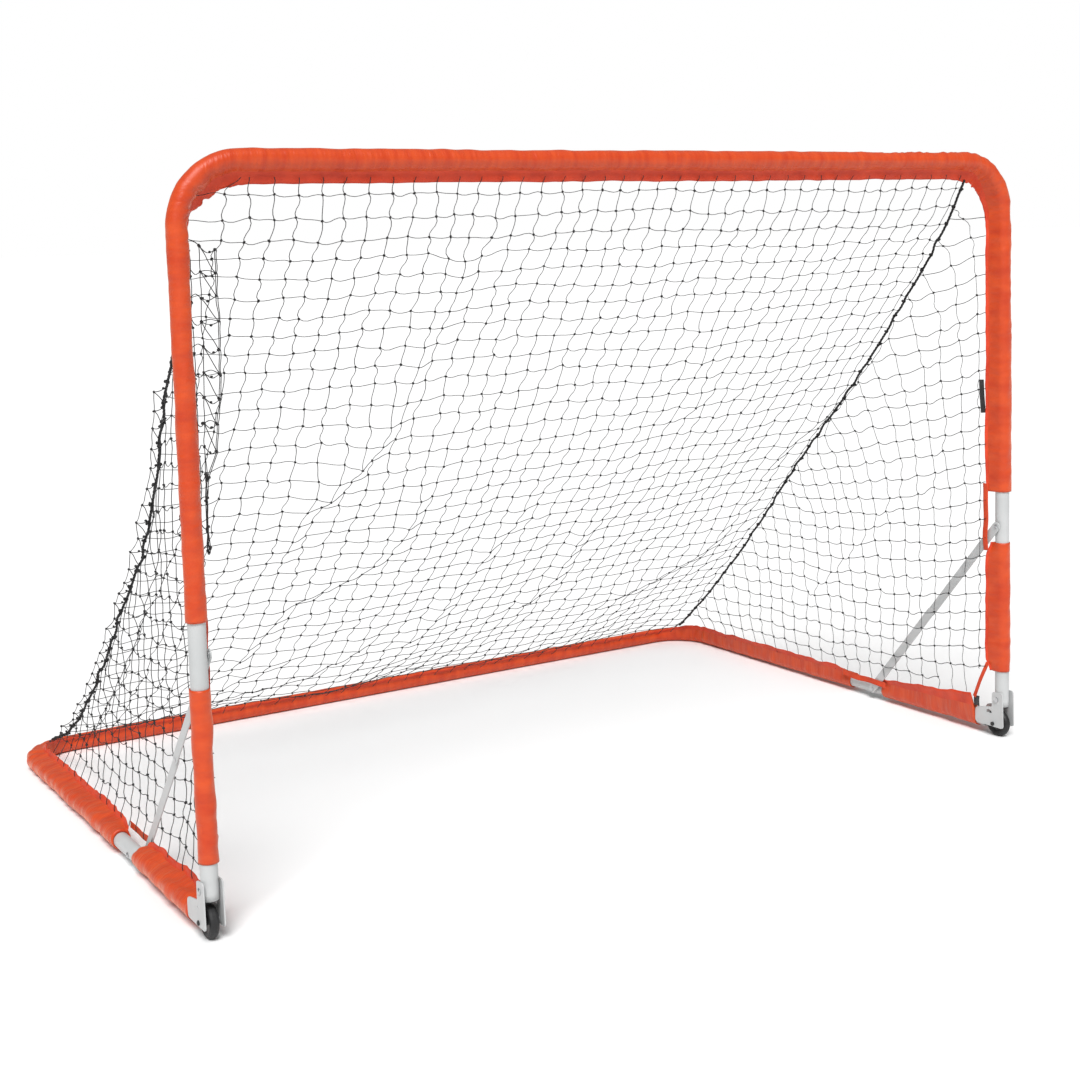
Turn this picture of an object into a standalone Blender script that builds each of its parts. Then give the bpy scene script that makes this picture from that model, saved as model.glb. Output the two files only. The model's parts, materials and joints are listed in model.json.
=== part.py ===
"""Folding practice soccer goal: tube frame, fabric sleeves, net, folding struts and corner wheels.

Metres, +Z up. The goal stands on z = 0, its mouth faces -Y, and X = 0 is its middle. The front
frame folds back and down about the two pivot bolts; the struts break in the middle as it does.
"""

import math

import bmesh
import bpy
from mathutils import Matrix, Vector

# Driving dimensions of the whole goal
OVERALL_WIDTH = 1.8288  # over the sleeves of the two posts
OVERALL_HEIGHT = 1.252  # to the top of the crossbar's sleeve
DEPTH = 1.147  # post centreline to back bar centreline
CORNER_R = 0.107  # centreline radius of the four tube bends
GAP = 0.0003  # air between pieces that touch

# Tubes and sleeves
TUBE_R = 0.0145
TUBE_WALL = 0.0014
SLEEVE_R = 0.0168  # outside of a sleeve's cloth
SLEEVE_WALL = 0.0012
REAR_SLEEVE_FACE = 0.0175  # centreline to a facet; one facet lies flat on the ground
REAR_SLEEVE_WALL = 0.0022
TUBE_SIDES = 12
HALF_SIDE = math.pi / TUBE_SIDES
REAR_SLEEVE_R = REAR_SLEEVE_FACE / math.cos(HALF_SIDE)
BORE_R = (TUBE_R - TUBE_WALL) * math.cos(HALF_SIDE)  # clear inside the facets
SPIGOT_R = BORE_R - GAP
SPIGOT_LENGTH = 0.16
SPIGOT_WALL = 0.0015
THROUGH = 0.05  # a cutter long enough for both walls of a tube

POST_X = OVERALL_WIDTH / 2 - SLEEVE_R
WHEEL_R = 0.029
WHEEL_BACK = 0.010  # the axle is this far behind the post centreline
POST_Y = -(DEPTH + REAR_SLEEVE_FACE - WHEEL_R + WHEEL_BACK) / 2  # centres the footprint
BACK_Y = POST_Y + DEPTH
CROSSBAR_Z = OVERALL_HEIGHT - SLEEVE_R
BASE_FRONT_Z = 0.029  # base tube centreline, which slopes down to the back
BASE_BACK_Z = REAR_SLEEVE_FACE

# Corner bracket: two plates that hold the post, the base tube and the wheel
PIVOT_Z = 0.084
POST_BOTTOM = 0.0665
PLUG_T = 0.0012
BASE_TUBE_START = 0.041  # behind the post centreline, clear of the wheel
PLATE_T = 0.0024
PLATE_GAP = TUBE_R + 0.0007  # tube centre to a plate's inner face
PLATE_RIVET_Y = 0.051
AXLE_Z = WHEEL_R
BOLT_R = 0.0030
SMALL_BOLT_R = 0.0024
HOLE_R = BOLT_R + GAP
SMALL_HOLE_R = SMALL_BOLT_R + GAP
WHEEL_HALF = 0.0085

# Struts
STRUT_TOP_Z = 0.463
STRUT_FOOT_Y = 0.380  # behind the post centreline
LINK_T = 0.0022
LINK_HALF = 0.0095
UPPER_LINK_OFF = 0.0172  # tube centre to the upper link's outer face
LOWER_LINK_OFF = UPPER_LINK_OFF + LINK_T + GAP

# Sleeve ends, as heights on the posts and distances behind the post centreline
UPPER_SLEEVE_END = 0.526
LOWER_SLEEVE_TOP = 0.418
LOWER_SLEEVE_BOTTOM = 0.140
FRONT_SLEEVE_START = 0.062
FRONT_SLEEVE_END = 0.352
REAR_SLEEVE_START = 0.462

# Net
NET_T = 0.0008
ROPE_R = 0.003
NET_EDGE_GAP = 0.0015  # from a rope's surface to the net sheet's edge
SIDE_NET_BOTTOM = 0.053
SIDE_NET_TOP = {-1: 1.100, 1: 1.170}
SIDE_NET_X = POST_X - 0.029
SIDE_NET_START = 0.022  # behind the post centreline
STRAP_T = 0.001
STRAP_X = POST_X - 0.0244
CLOSURE_X = POST_X - 0.0192

COLOURS = {
    "white paint": ((0.72, 0.73, 0.73), 0.38, 0.0),
    "zinc": ((0.55, 0.56, 0.57), 0.32, 1.0),
    "black oxide": ((0.03, 0.03, 0.03), 0.45, 1.0),
    "orange cloth": ((0.80, 0.13, 0.02), 0.62, 0.0),
    "orange webbing": ((0.78, 0.12, 0.02), 0.70, 0.0),
    "black hook and loop": ((0.012, 0.012, 0.013), 0.9, 0.0),
    "black tyre": ((0.010, 0.010, 0.011), 0.55, 0.0),
    "black plastic": ((0.018, 0.018, 0.019), 0.42, 0.0),
    "black twine": ((0.010, 0.010, 0.010), 0.8, 0.0),
}


def base_z(behind):
    """Height of the base tube's centreline, this far behind the post centreline."""
    return BASE_FRONT_Z + (BASE_BACK_Z - BASE_FRONT_Z) * min(max(behind / DEPTH, 0.0), 1.0)


def clear_scene():
    for obj in list(bpy.data.objects):
        bpy.data.objects.remove(obj, do_unlink=True)


def make_collection(name):
    collection = bpy.data.collections.new(name)
    bpy.context.scene.collection.children.link(collection)
    return collection


def make_material(name, look):
    colour, roughness, metallic = COLOURS[look]
    material = bpy.data.materials.new(name)
    material.use_nodes = True
    shader = material.node_tree.nodes["Principled BSDF"]
    shader.inputs["Base Color"].default_value = (*colour, 1.0)
    shader.inputs["Roughness"].default_value = roughness
    shader.inputs["Metallic"].default_value = metallic
    return material


def finish_node(obj, look):
    """Gives a node its own material and moves it into the goal's collection."""
    obj.data.materials.clear()
    obj.data.materials.append(make_material(obj.name, look))
    for collection in list(obj.users_collection):
        collection.objects.unlink(obj)
    GOAL.objects.link(obj)
    return obj


def link_to(collection, name, data):
    obj = bpy.data.objects.new(name, data)
    collection.objects.link(obj)
    return obj


# Shapes


def bent_path(start, corner, end, radius=CORNER_R, steps=8):
    """Points from start to end past a corner rounded to this radius."""
    start, corner, end = Vector(start), Vector(corner), Vector(end)
    into = (corner - start).normalized()
    out = (end - corner).normalized()
    first, last = corner - into * radius, corner + out * radius
    centre = first + out * radius
    points = [start]
    for i in range(steps + 1):
        turn = math.pi / 2 * i / steps
        points.append(centre - out * (radius * math.cos(turn)) + into * (radius * math.sin(turn)))
    if (end - last).length > radius * 0.1:
        points.append(end)
    return points


def tube_curve(name, points, radius, caps, sides_resolution):
    curve = bpy.data.curves.new(name, "CURVE")
    curve.dimensions = "3D"
    curve.bevel_depth = radius
    curve.bevel_resolution = sides_resolution
    curve.use_fill_caps = caps
    spline = curve.splines.new("POLY")
    spline.points.add(len(points) - 1)
    for knot, point in zip(spline.points, points):
        knot.co = (*point, 1.0)
    return link_to(GOAL, name, curve)


def as_mesh(curve_object):
    """The curve's surface as a mesh object in the curve's place; the curve is removed."""
    name = curve_object.name
    evaluated = curve_object.evaluated_get(bpy.context.evaluated_depsgraph_get())
    mesh = bpy.data.meshes.new_from_object(evaluated)
    matrix = curve_object.matrix_world.copy()
    bpy.data.objects.remove(curve_object, do_unlink=True)
    work = bmesh.new()
    work.from_mesh(mesh)
    bmesh.ops.remove_doubles(work, verts=work.verts, dist=1e-6)
    work.to_mesh(mesh)
    work.free()
    mesh.name = name
    obj = link_to(GOAL, name, mesh)
    obj.matrix_world = matrix
    return obj


def hollow_tube(name, points, radius, wall, look, facet_down=False):
    """An open-ended tube or sleeve along the points; radius is its outside."""
    curve_object = tube_curve(name, points, radius, False, TUBE_SIDES // 2 - 2)
    if facet_down:
        curve_object.data.twist_mode = "Z_UP"
        for knot in curve_object.data.splines[0].points:
            knot.tilt = HALF_SIDE
    obj = as_mesh(curve_object)
    shell = obj.modifiers.new("wall", "SOLIDIFY")
    shell.thickness = wall
    shell.offset = -1.0
    obj.data.shade_smooth()
    return finish_node(obj, look)


def cord(name, points, radius, look):
    return finish_node(tube_curve(name, points, radius, True, 2), look)


def drill_x(obj, x, y, z, radius, length):
    """Cuts a round hole along X through obj."""
    bpy.ops.mesh.primitive_cylinder_add(
        vertices=16, radius=radius, depth=length, location=(x, y, z), rotation=(0, math.pi / 2, 0)
    )
    cutter = bpy.context.object
    cutter.name = f"{obj.name}_hole"
    cutter.hide_render = True
    cutter.display_type = "WIRE"
    for collection in list(cutter.users_collection):
        collection.objects.unlink(cutter)
    CUTTERS.objects.link(cutter)
    cut = obj.modifiers.new("hole", "BOOLEAN")
    cut.operation = "DIFFERENCE"
    cut.solver = "EXACT"
    cut.object = cutter


def arc(cx, cy, radius, start_deg, end_deg, steps):
    angles = [start_deg + (end_deg - start_deg) * i / steps for i in range(steps + 1)]
    return [
        (cx + radius * math.cos(math.radians(a)), cy + radius * math.sin(math.radians(a)))
        for a in angles
    ]


def rounded(corners, steps=4):
    """An outline from corners given as (u, v, radius)."""
    points = []
    count = len(corners)
    for i, (u, v, radius) in enumerate(corners):
        here = Vector((u, v))
        before = (Vector(corners[i - 1][:2]) - here).normalized()
        after = (Vector(corners[(i + 1) % count][:2]) - here).normalized()
        half = before.angle(after) / 2
        centre = here + (before + after).normalized() * (radius / math.sin(half))
        reach = radius / math.tan(half)
        first, last = here + before * reach - centre, here + after * reach - centre
        sweep = first.angle_signed(last)
        for k in range(steps + 1):
            turned = first.copy()
            turned.rotate(Matrix.Rotation(-sweep * k / steps, 2))
            points.append(tuple(centre + turned))
    return points


def flat_plate(name, outline, holes, thickness, x_low, look):
    """A plate in the YZ plane; outline and holes are (y, z) loops and x_low its lower X face."""
    curve = bpy.data.curves.new(name, "CURVE")
    curve.dimensions = "2D"
    curve.fill_mode = "BOTH"
    curve.extrude = thickness / 2
    for loop in [outline, *holes]:
        spline = curve.splines.new("POLY")
        spline.points.add(len(loop) - 1)
        spline.use_cyclic_u = True
        for knot, (u, v) in zip(spline.points, loop):
            knot.co = (u, v, 0.0, 1.0)
    obj = link_to(GOAL, name, curve)
    obj.rotation_euler = (math.pi / 2, 0, math.pi / 2)
    obj.location = (x_low + thickness / 2, 0, 0)
    return finish_node(obj, look)


def turned_x(name, profile, x, y, z, look, steps=20, ring=False, flip=False):
    """A turned piece whose axis lies along X; profile holds (radius, distance along X).

    It runs from the high end to the low end, and a ring's profile closes on itself."""
    mesh = bpy.data.meshes.new(name)
    work = bmesh.new()
    verts = [work.verts.new((radius, 0.0, along)) for radius, along in profile]
    for a, b in zip(verts, verts[1:]):
        work.edges.new((a, b))
    if ring:
        work.edges.new((verts[-1], verts[0]))
    work.to_mesh(mesh)
    work.free()
    obj = link_to(GOAL, name, mesh)
    screw = obj.modifiers.new("turn", "SCREW")
    screw.steps = steps
    screw.render_steps = steps
    screw.use_merge_vertices = True
    screw.merge_threshold = 0.00001
    obj.rotation_euler = (0, -math.pi / 2 if flip else math.pi / 2, 0)
    obj.location = (x, y, z)
    return finish_node(obj, look)


def pin_profile(shank_r, head_r, head_t, length, tail_r=None, tail_t=0.0):
    """A headed pin: the head above 0, the shank from 0 down, and an optional wider tail."""
    profile = [(0.0, head_t), (head_r * 0.6, head_t), (head_r, head_t * 0.35), (head_r, 0.0)]
    profile += [(shank_r, 0.0), (shank_r, -length)]
    if tail_r:
        profile += [(tail_r, -length), (tail_r, -length - tail_t)]
        profile += [(0.0, -length - tail_t)]
    else:
        profile += [(0.0, -length)]
    return profile


def ring_profile(inner, outer, half):
    return [(outer, half), (outer, -half), (inner, -half), (inner, half)]


def box(name, low, high, look):
    centre = [(a + b) / 2 for a, b in zip(low, high)]
    bpy.ops.mesh.primitive_cube_add(size=1.0, location=centre)
    obj = bpy.context.object
    obj.name = name
    obj.data.name = name
    size = [abs(b - a) for a, b in zip(low, high)]
    for vertex in obj.data.vertices:
        vertex.co = Vector([c * s for c, s in zip(vertex.co, size)])
    return finish_node(obj, look)


def side_box(name, side, near_x, thickness, y_range, z_range, look):
    """A thin box on the side (-1 left, 1 right) whose inner face is at near_x."""
    xs = sorted((side * near_x, side * (near_x + thickness)))
    low = (xs[0], POST_Y + y_range[0], z_range[0])
    high = (xs[1], POST_Y + y_range[1], z_range[1])
    return box(name, low, high, look)


def thin_sheet(name, columns, rows, place, look):
    """A net panel as one thin closed sheet; place(u, v) gives a point for u, v in 0..1."""
    mesh = bpy.data.meshes.new(name)
    work = bmesh.new()
    bmesh.ops.create_grid(work, x_segments=columns, y_segments=rows, size=0.5)
    for vertex in work.verts:
        vertex.co = Vector(place(vertex.co.x + 0.5, vertex.co.y + 0.5))
    work.to_mesh(mesh)
    work.free()
    obj = link_to(GOAL, name, mesh)
    shell = obj.modifiers.new("thickness", "SOLIDIFY")
    shell.thickness = NET_T
    shell.offset = 0.0
    return finish_node(obj, look)


# Sub-assemblies; side is -1 for left and 1 for right


def side_name(side):
    return "left" if side < 0 else "right"


def base_side_path(side, start, back_x):
    """The base tube's centreline from this far behind the post, round the corner to back_x."""
    x = side * POST_X
    first = (x, POST_Y + start, base_z(start))
    corner = (x, BACK_Y, BASE_BACK_Z)
    return bent_path(first, corner, (back_x, BACK_Y, BASE_BACK_Z))


def front_side_path(side, start_z, middle_x):
    x = side * POST_X
    return bent_path((x, POST_Y, start_z), (x, POST_Y, CROSSBAR_Z), (middle_x, POST_Y, CROSSBAR_Z))


def straight_x(y, z, half):
    return [(-half, y, z), (half, y, z)]


def build_tubes(side):
    which = side_name(side)
    x = side * POST_X
    base = hollow_tube(
        f"base_tube_{which}", base_side_path(side, BASE_TUBE_START, side * GAP / 2),
        TUBE_R, TUBE_WALL, "white paint",
    )
    drill_x(base, x, POST_Y + PLATE_RIVET_Y, base_z(PLATE_RIVET_Y), SMALL_HOLE_R, THROUGH)
    drill_x(base, x, POST_Y + STRUT_FOOT_Y, base_z(STRUT_FOOT_Y), SMALL_HOLE_R, THROUGH)
    front = hollow_tube(
        f"front_tube_{which}", front_side_path(side, POST_BOTTOM + PLUG_T + GAP, side * GAP / 2),
        TUBE_R, TUBE_WALL, "white paint",
    )
    drill_x(front, x, POST_Y, PIVOT_Z, HOLE_R, THROUGH)
    drill_x(front, x - side * TUBE_R, POST_Y, STRUT_TOP_Z, SMALL_HOLE_R, 0.02)


def build_post_plug(side):
    """A plastic plug that closes the lower end of the post."""
    which = side_name(side)
    depth = 0.006
    inner = BORE_R - GAP
    flange, base = TUBE_R - 0.0003, POST_BOTTOM
    profile = [(0.0, depth), (inner, depth), (inner, PLUG_T), (flange, PLUG_T)]
    profile += [(flange, 0.0), (0.0, 0.0)]
    plug = turned_x(f"post_plug_{which}", profile, side * POST_X, POST_Y, base, "black plastic", 16)
    plug.rotation_euler = (0, 0, 0)


def plate_outline():
    """An L: a narrow leg that holds the post and a foot that holds the base tube."""
    corners = [
        (POST_Y - 0.0185, 0.0228, 0.006),
        (POST_Y - 0.0165, 0.1015, 0.006),
        (POST_Y + 0.0125, 0.0990, 0.006),
        (POST_Y + 0.0130, 0.0660, 0.003),
        (POST_Y + 0.0605, 0.0570, 0.011),
        (POST_Y + 0.0605, 0.0228, 0.008),
    ]
    return rounded(corners)


def build_bracket(side):
    """Two L-shaped plates, the bolts of the post and the wheel, and a rivet ground flush."""
    which = side_name(side)
    x = side * POST_X
    foot_z = base_z(PLATE_RIVET_Y)
    holes = [
        arc(POST_Y, PIVOT_Z, HOLE_R, 0, 330, 11),
        arc(POST_Y + WHEEL_BACK, AXLE_Z, HOLE_R, 0, 330, 11),
        arc(POST_Y + PLATE_RIVET_Y, foot_z, SMALL_HOLE_R, 0, 330, 11),
    ]
    round_hole = arc(POST_Y + 0.0128, 0.055, 0.002, 0, 315, 7)
    half_moon = arc(POST_Y + 0.0210, 0.051, 0.0080, 0, 180, 8)
    for face, extra in (("outer", round_hole), ("inner", half_moon)):
        away = side if face == "outer" else -side
        x_low = x + PLATE_GAP if away > 0 else x - PLATE_GAP - PLATE_T
        name = f"hinge_plate_{which}_{face}"
        flat_plate(name, plate_outline(), [*holes, extra], PLATE_T, x_low, "white paint")
    outside = PLATE_GAP + PLATE_T + GAP
    for name, y, z, head, look in (
        ("pivot_bolt", 0.0, PIVOT_Z, 0.0058, "zinc"),
        ("axle_bolt", WHEEL_BACK, AXLE_Z, 0.0044, "black oxide"),
    ):
        profile = pin_profile(BOLT_R, head, 0.0024, 2 * outside, head, 0.0024)
        turned_x(f"{name}_{which}", profile, x + side * outside, POST_Y + y, z, look,
                 16, flip=side < 0)
    flush = PLATE_GAP + PLATE_T
    profile = [(0.0, flush), (SMALL_BOLT_R, flush), (SMALL_BOLT_R, -flush), (0.0, -flush)]
    turned_x(f"plate_rivet_{which}", profile, x, POST_Y + PLATE_RIVET_Y, foot_z, "white paint", 16)


def build_wheel(side):
    which = side_name(side)
    x = side * POST_X
    rim, bore = 0.0185, BOLT_R + GAP
    hub = [(rim, 0.0070), (rim, -0.0070), (0.0150, -0.0050), (0.0070, -0.0050)]
    hub += [(0.0070, -0.0085), (bore, -0.0085), (bore, 0.0085), (0.0070, 0.0085)]
    hub += [(0.0070, 0.0050), (0.0150, 0.0050)]
    axle_y = POST_Y + WHEEL_BACK
    turned_x(f"wheel_hub_{which}", hub, x, axle_y, AXLE_Z, "black plastic", 24, ring=True)
    inner = rim + GAP
    tread = [(0.0235, WHEEL_HALF), (0.0268, 0.0068), (WHEEL_R, 0.0030), (WHEEL_R, -0.0030)]
    tread += [(0.0268, -0.0068), (0.0235, -WHEEL_HALF), (inner, -0.0072), (inner, 0.0072)]
    turned_x(f"wheel_tyre_{which}", tread, x, axle_y, AXLE_Z, "black tyre", 32, ring=True)
    room = (PLATE_GAP - GAP) - (WHEEL_HALF + GAP)
    middle = WHEEL_HALF + GAP + room / 2
    for face, away in (("outer", side), ("inner", -side)):
        turned_x(f"wheel_spacer_{which}_{face}", ring_profile(bore, 0.0058, room / 2),
                 x + away * middle, axle_y, AXLE_Z, "zinc", 16, ring=True)


def link_outline(start, end):
    """A bar with round ends about two pivots, in the YZ plane."""
    along = math.degrees(math.atan2(end[1] - start[1], end[0] - start[0]))
    outline = arc(*start, LINK_HALF, along + 90, along + 270, 8)
    return outline + arc(*end, LINK_HALF, along - 90, along + 90, 8)


def build_strut(side):
    """Two flat links, straight when open; the middle moves forward and down as the goal folds."""
    which = side_name(side)
    x = side * POST_X
    top = (POST_Y, STRUT_TOP_Z)
    foot = (POST_Y + STRUT_FOOT_Y, base_z(STRUT_FOOT_Y))
    middle = ((top[0] + foot[0]) / 2, (top[1] + foot[1]) / 2)

    def link(name, start, end, offset, holes):
        x_low = x + offset if side < 0 else x - offset - LINK_T
        loops = [arc(*hole, SMALL_HOLE_R, 0, 315, 7) for hole in holes]
        flat_plate(f"{name}_{which}", link_outline(start, end), loops, LINK_T, x_low, "white paint")

    link("upper_link", top, middle, UPPER_LINK_OFF, [top, middle])
    link("lower_link", middle, foot, LOWER_LINK_OFF, [foot])

    # A blind rivet holds the upper link to the post's inner wall.
    head = x - side * (UPPER_LINK_OFF + LINK_T + GAP)
    grip = UPPER_LINK_OFF + LINK_T + GAP - (TUBE_R - TUBE_WALL - 0.0010)
    turned_x(f"strut_rivet_{which}", pin_profile(SMALL_BOLT_R, 0.0045, 0.0018, grip), head,
             *top, "zinc", 16, flip=side > 0)
    # The middle rivet stays with the upper link: its head is outside and its shank ends flush.
    head = x - side * (UPPER_LINK_OFF - GAP)
    turned_x(f"mid_rivet_{which}", pin_profile(SMALL_BOLT_R, 0.0045, 0.0008, LINK_T + GAP), head,
             *middle, "zinc", 16, flip=side < 0)
    # A bolt right through the base tube carries the lower link, off the tube by a washer.
    reach = TUBE_R + GAP
    grip = reach + LOWER_LINK_OFF + LINK_T + GAP
    profile = pin_profile(SMALL_BOLT_R, 0.0048, 0.0028, grip, 0.0048, 0.0018)
    turned_x(f"strut_bolt_{which}", profile, x + side * reach, *foot, "zinc", 16, flip=side < 0)
    for name, centre, far in (
        ("upper_washer", top, UPPER_LINK_OFF), ("lower_washer", foot, LOWER_LINK_OFF)
    ):
        room = far - TUBE_R - 2 * GAP
        offset = TUBE_R + GAP + room / 2
        turned_x(f"{name}_{which}", ring_profile(SMALL_HOLE_R, 0.0058, room / 2),
                 x - side * offset, *centre, "zinc", 16, ring=True)


def build_sleeves():
    """Cloth sleeves on the tubes, with bare gaps where the frame pivots."""
    left = front_side_path(-1, UPPER_SLEEVE_END, 0.0)
    right = front_side_path(1, UPPER_SLEEVE_END, 0.0)
    path = left[:-1] + right[:-1][::-1]
    hollow_tube("top_sleeve", path, SLEEVE_R, SLEEVE_WALL, "orange cloth")
    left = base_side_path(-1, REAR_SLEEVE_START, 0.0)
    right = base_side_path(1, REAR_SLEEVE_START, 0.0)
    path = left[:-1] + right[:-1][::-1]
    hollow_tube("rear_base_sleeve", path, REAR_SLEEVE_R, REAR_SLEEVE_WALL, "orange cloth", True)
    for side in (-1, 1):
        which = side_name(side)
        x = side * POST_X
        post = [(x, POST_Y, LOWER_SLEEVE_BOTTOM), (x, POST_Y, LOWER_SLEEVE_TOP)]
        hollow_tube(f"lower_sleeve_{which}", post, SLEEVE_R, SLEEVE_WALL, "orange cloth")
        base = [(x, POST_Y + d, base_z(d)) for d in (FRONT_SLEEVE_START, FRONT_SLEEVE_END)]
        hollow_tube(f"front_base_sleeve_{which}", base, SLEEVE_R, SLEEVE_WALL, "orange cloth")


# The corner ropes, from the crossbar down to the back corners, sagging with the net.
# Each row is (distance in from the middle, distance behind the posts, height).
ROPE_ROUTES = {
    1: [
        (0.790, 0.004, 1.196), (0.793, 0.060, 1.108), (0.797, 0.137, 1.006),
        (0.804, 0.265, 0.857), (0.812, 0.412, 0.704), (0.821, 0.572, 0.548),
        (0.829, 0.715, 0.398), (0.836, 0.854, 0.258), (0.843, 0.985, 0.140),
        (0.849, 1.100, 0.048),
    ],
    -1: [
        (0.877, 0.016, 1.130), (0.868, 0.058, 1.092), (0.853, 0.130, 1.022),
        (0.839, 0.205, 0.945), (0.832, 0.277, 0.855), (0.829, 0.340, 0.745),
        (0.829, 0.400, 0.635), (0.829, 0.485, 0.530), (0.830, 0.590, 0.430),
        (0.832, 0.712, 0.310), (0.836, 0.845, 0.190), (0.843, 0.985, 0.092),
        (0.849, 1.096, 0.048),
    ],
}

# The back net's left edge runs on from its rope up to the crossbar.
NET_EDGES = {1: ROPE_ROUTES[1], -1: [(0.832, 0.004, 1.196), *ROPE_ROUTES[-1]]}


def smooth_route(knots, steps):
    """Catmull-Rom points through the knots, steps to each span."""
    knots = [Vector(knot) for knot in knots]
    knots = [2 * knots[0] - knots[1], *knots, 2 * knots[-1] - knots[-2]]
    points = []
    for a, b, c, d in zip(knots, knots[1:], knots[2:], knots[3:]):
        for i in range(steps):
            t = i / steps
            points.append(
                0.5 * (2 * b + (c - a) * t + (2 * a - 5 * b + 4 * c - d) * t ** 2
                       + (3 * b - a - 3 * c + d) * t ** 3)
            )
    points.append(knots[-2])
    return points


def point_at(route, side, t):
    """A point of a smoothed route at t, from 0 at its top to 1 at the back corner."""
    place = t * (len(route) - 1)
    index = min(int(place), len(route) - 2)
    inward, behind, height = route[index].lerp(route[index + 1], place - index)
    return Vector((side * inward, POST_Y + behind, height))


def edge_at_height(side, z):
    """The net's edge, along the rope's centreline, at a height; found by halving."""
    route = smooth_route(NET_EDGES[side], 4)
    low, high = 0.0, 1.0
    for _ in range(30):
        t = (low + high) / 2
        if point_at(route, side, t).z > z:
            low = t
        else:
            high = t
    return point_at(route, side, (low + high) / 2)


def build_net():
    clear = ROPE_R + NET_T / 2 + NET_EDGE_GAP
    top = min(edge[0][2] for edge in NET_EDGES.values())
    bottom = max(edge[-1][2] for edge in NET_EDGES.values())

    def back(u, v):
        z = top + (bottom - top) * v
        left, right = edge_at_height(-1, z), edge_at_height(1, z)
        span = (right - left).normalized()
        return (left + span * clear).lerp(right - span * clear, u)

    thin_sheet("back_net", 1, 20, back, "black twine")
    for side in (-1, 1):
        which = side_name(side)

        def panel(u, v, side=side):
            z = SIDE_NET_BOTTOM + (SIDE_NET_TOP[side] - SIDE_NET_BOTTOM) * v
            rope = edge_at_height(side, z)
            rope -= Vector((-side * clear * 0.7, clear, 0.0))
            post = Vector((side * SIDE_NET_X, POST_Y + SIDE_NET_START, z))
            return post.lerp(rope, u)

        thin_sheet(f"side_net_{which}", 3, 10, panel, "black twine")
        knots = smooth_route(ROPE_ROUTES[side], 4)
        route = [point_at(knots, side, i / 24) for i in range(25)]
        cord(f"corner_rope_{which}", route, ROPE_R, "black twine")


def build_straps(side):
    """Webbing that carries the net's edge past the bare gaps and across the fold."""
    which = side_name(side)
    side_box(f"post_gap_strap_{which}", side, STRAP_X, STRAP_T, (0.018, 0.031),
             (LOWER_SLEEVE_TOP - 0.012, UPPER_SLEEVE_END + 0.012), "orange webbing")
    side_box(f"base_gap_strap_{which}", side, STRAP_X, STRAP_T,
             (FRONT_SLEEVE_END - 0.012, REAR_SLEEVE_START + 0.012), (0.038, 0.051),
             "orange webbing")
    side_box(f"base_closure_{which}", side, CLOSURE_X, STRAP_T, (0.047, 0.062),
             (0.062, 0.080), "black hook and loop")
    high = (POST_Y + 0.021, 0.158)
    low = (POST_Y + 0.055, 0.084)
    half = 0.0045
    along = math.degrees(math.atan2(low[1] - high[1], low[0] - high[0]))
    outline = arc(*high, half, along + 90, along + 270, 2) + arc(*low, half, along - 90, along + 90, 2)
    x_low = side * STRAP_X if side > 0 else side * STRAP_X - STRAP_T
    flat_plate(f"corner_strap_{which}", outline, [], STRAP_T, x_low, "orange webbing")


clear_scene()
GOAL = make_collection("soccer_goal")
CUTTERS = make_collection("cutters")
for each_side in (-1, 1):
    build_tubes(each_side)
    build_post_plug(each_side)
    build_bracket(each_side)
    build_wheel(each_side)
    build_strut(each_side)
    build_straps(each_side)
hollow_tube("base_spigot", straight_x(BACK_Y, BASE_BACK_Z, SPIGOT_LENGTH / 2), SPIGOT_R,
            SPIGOT_WALL, "zinc")
hollow_tube("crossbar_spigot", straight_x(POST_Y, CROSSBAR_Z, SPIGOT_LENGTH / 2), SPIGOT_R,
            SPIGOT_WALL, "zinc")
build_sleeves()
build_net()
side_box("post_closure_right", 1, CLOSURE_X, STRAP_T, (0.045, 0.056), (0.706, 0.773),
         "black hook and loop")
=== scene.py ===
"""Looks of the folding soccer goal: cloth sleeves, knotted net, ropes, straps, metal and wheels."""
import json
import math

import bpy
import numpy as np
from mathutils import Matrix, Vector


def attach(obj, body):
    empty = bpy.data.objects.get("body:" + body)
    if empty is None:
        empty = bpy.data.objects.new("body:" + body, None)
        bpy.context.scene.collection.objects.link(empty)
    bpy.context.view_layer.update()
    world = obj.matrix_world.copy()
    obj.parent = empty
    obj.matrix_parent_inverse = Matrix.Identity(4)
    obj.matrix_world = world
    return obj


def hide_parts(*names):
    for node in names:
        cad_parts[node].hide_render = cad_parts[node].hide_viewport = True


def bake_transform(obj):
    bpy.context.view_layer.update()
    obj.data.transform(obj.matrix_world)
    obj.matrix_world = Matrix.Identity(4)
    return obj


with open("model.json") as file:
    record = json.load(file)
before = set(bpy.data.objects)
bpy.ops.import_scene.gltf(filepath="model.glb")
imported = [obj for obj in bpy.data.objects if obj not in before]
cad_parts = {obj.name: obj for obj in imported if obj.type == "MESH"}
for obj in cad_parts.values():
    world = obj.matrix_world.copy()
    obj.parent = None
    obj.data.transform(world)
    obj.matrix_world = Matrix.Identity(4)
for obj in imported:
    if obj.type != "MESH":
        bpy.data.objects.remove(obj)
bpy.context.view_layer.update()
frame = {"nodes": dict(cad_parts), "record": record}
NODES = frame["nodes"]

# Places that the CAD fixes, in metres
POST_X, POST_Y, BACK_Y = 0.8976, -0.57275, 0.57425
CROSSBAR_Z, DEPTH, CORNER_R = 1.2352, 1.147, 0.107
BASE_FRONT_Z, BASE_BACK_Z = 0.029, 0.0175
TUBE_R, PIVOT_Z = 0.0145, 0.084
BASE_TUBE_START, POST_FOOT_Z, SPIGOT_GAP = 0.041, 0.068, 0.00015
SIDES = {"left": -1, "right": 1}

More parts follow.
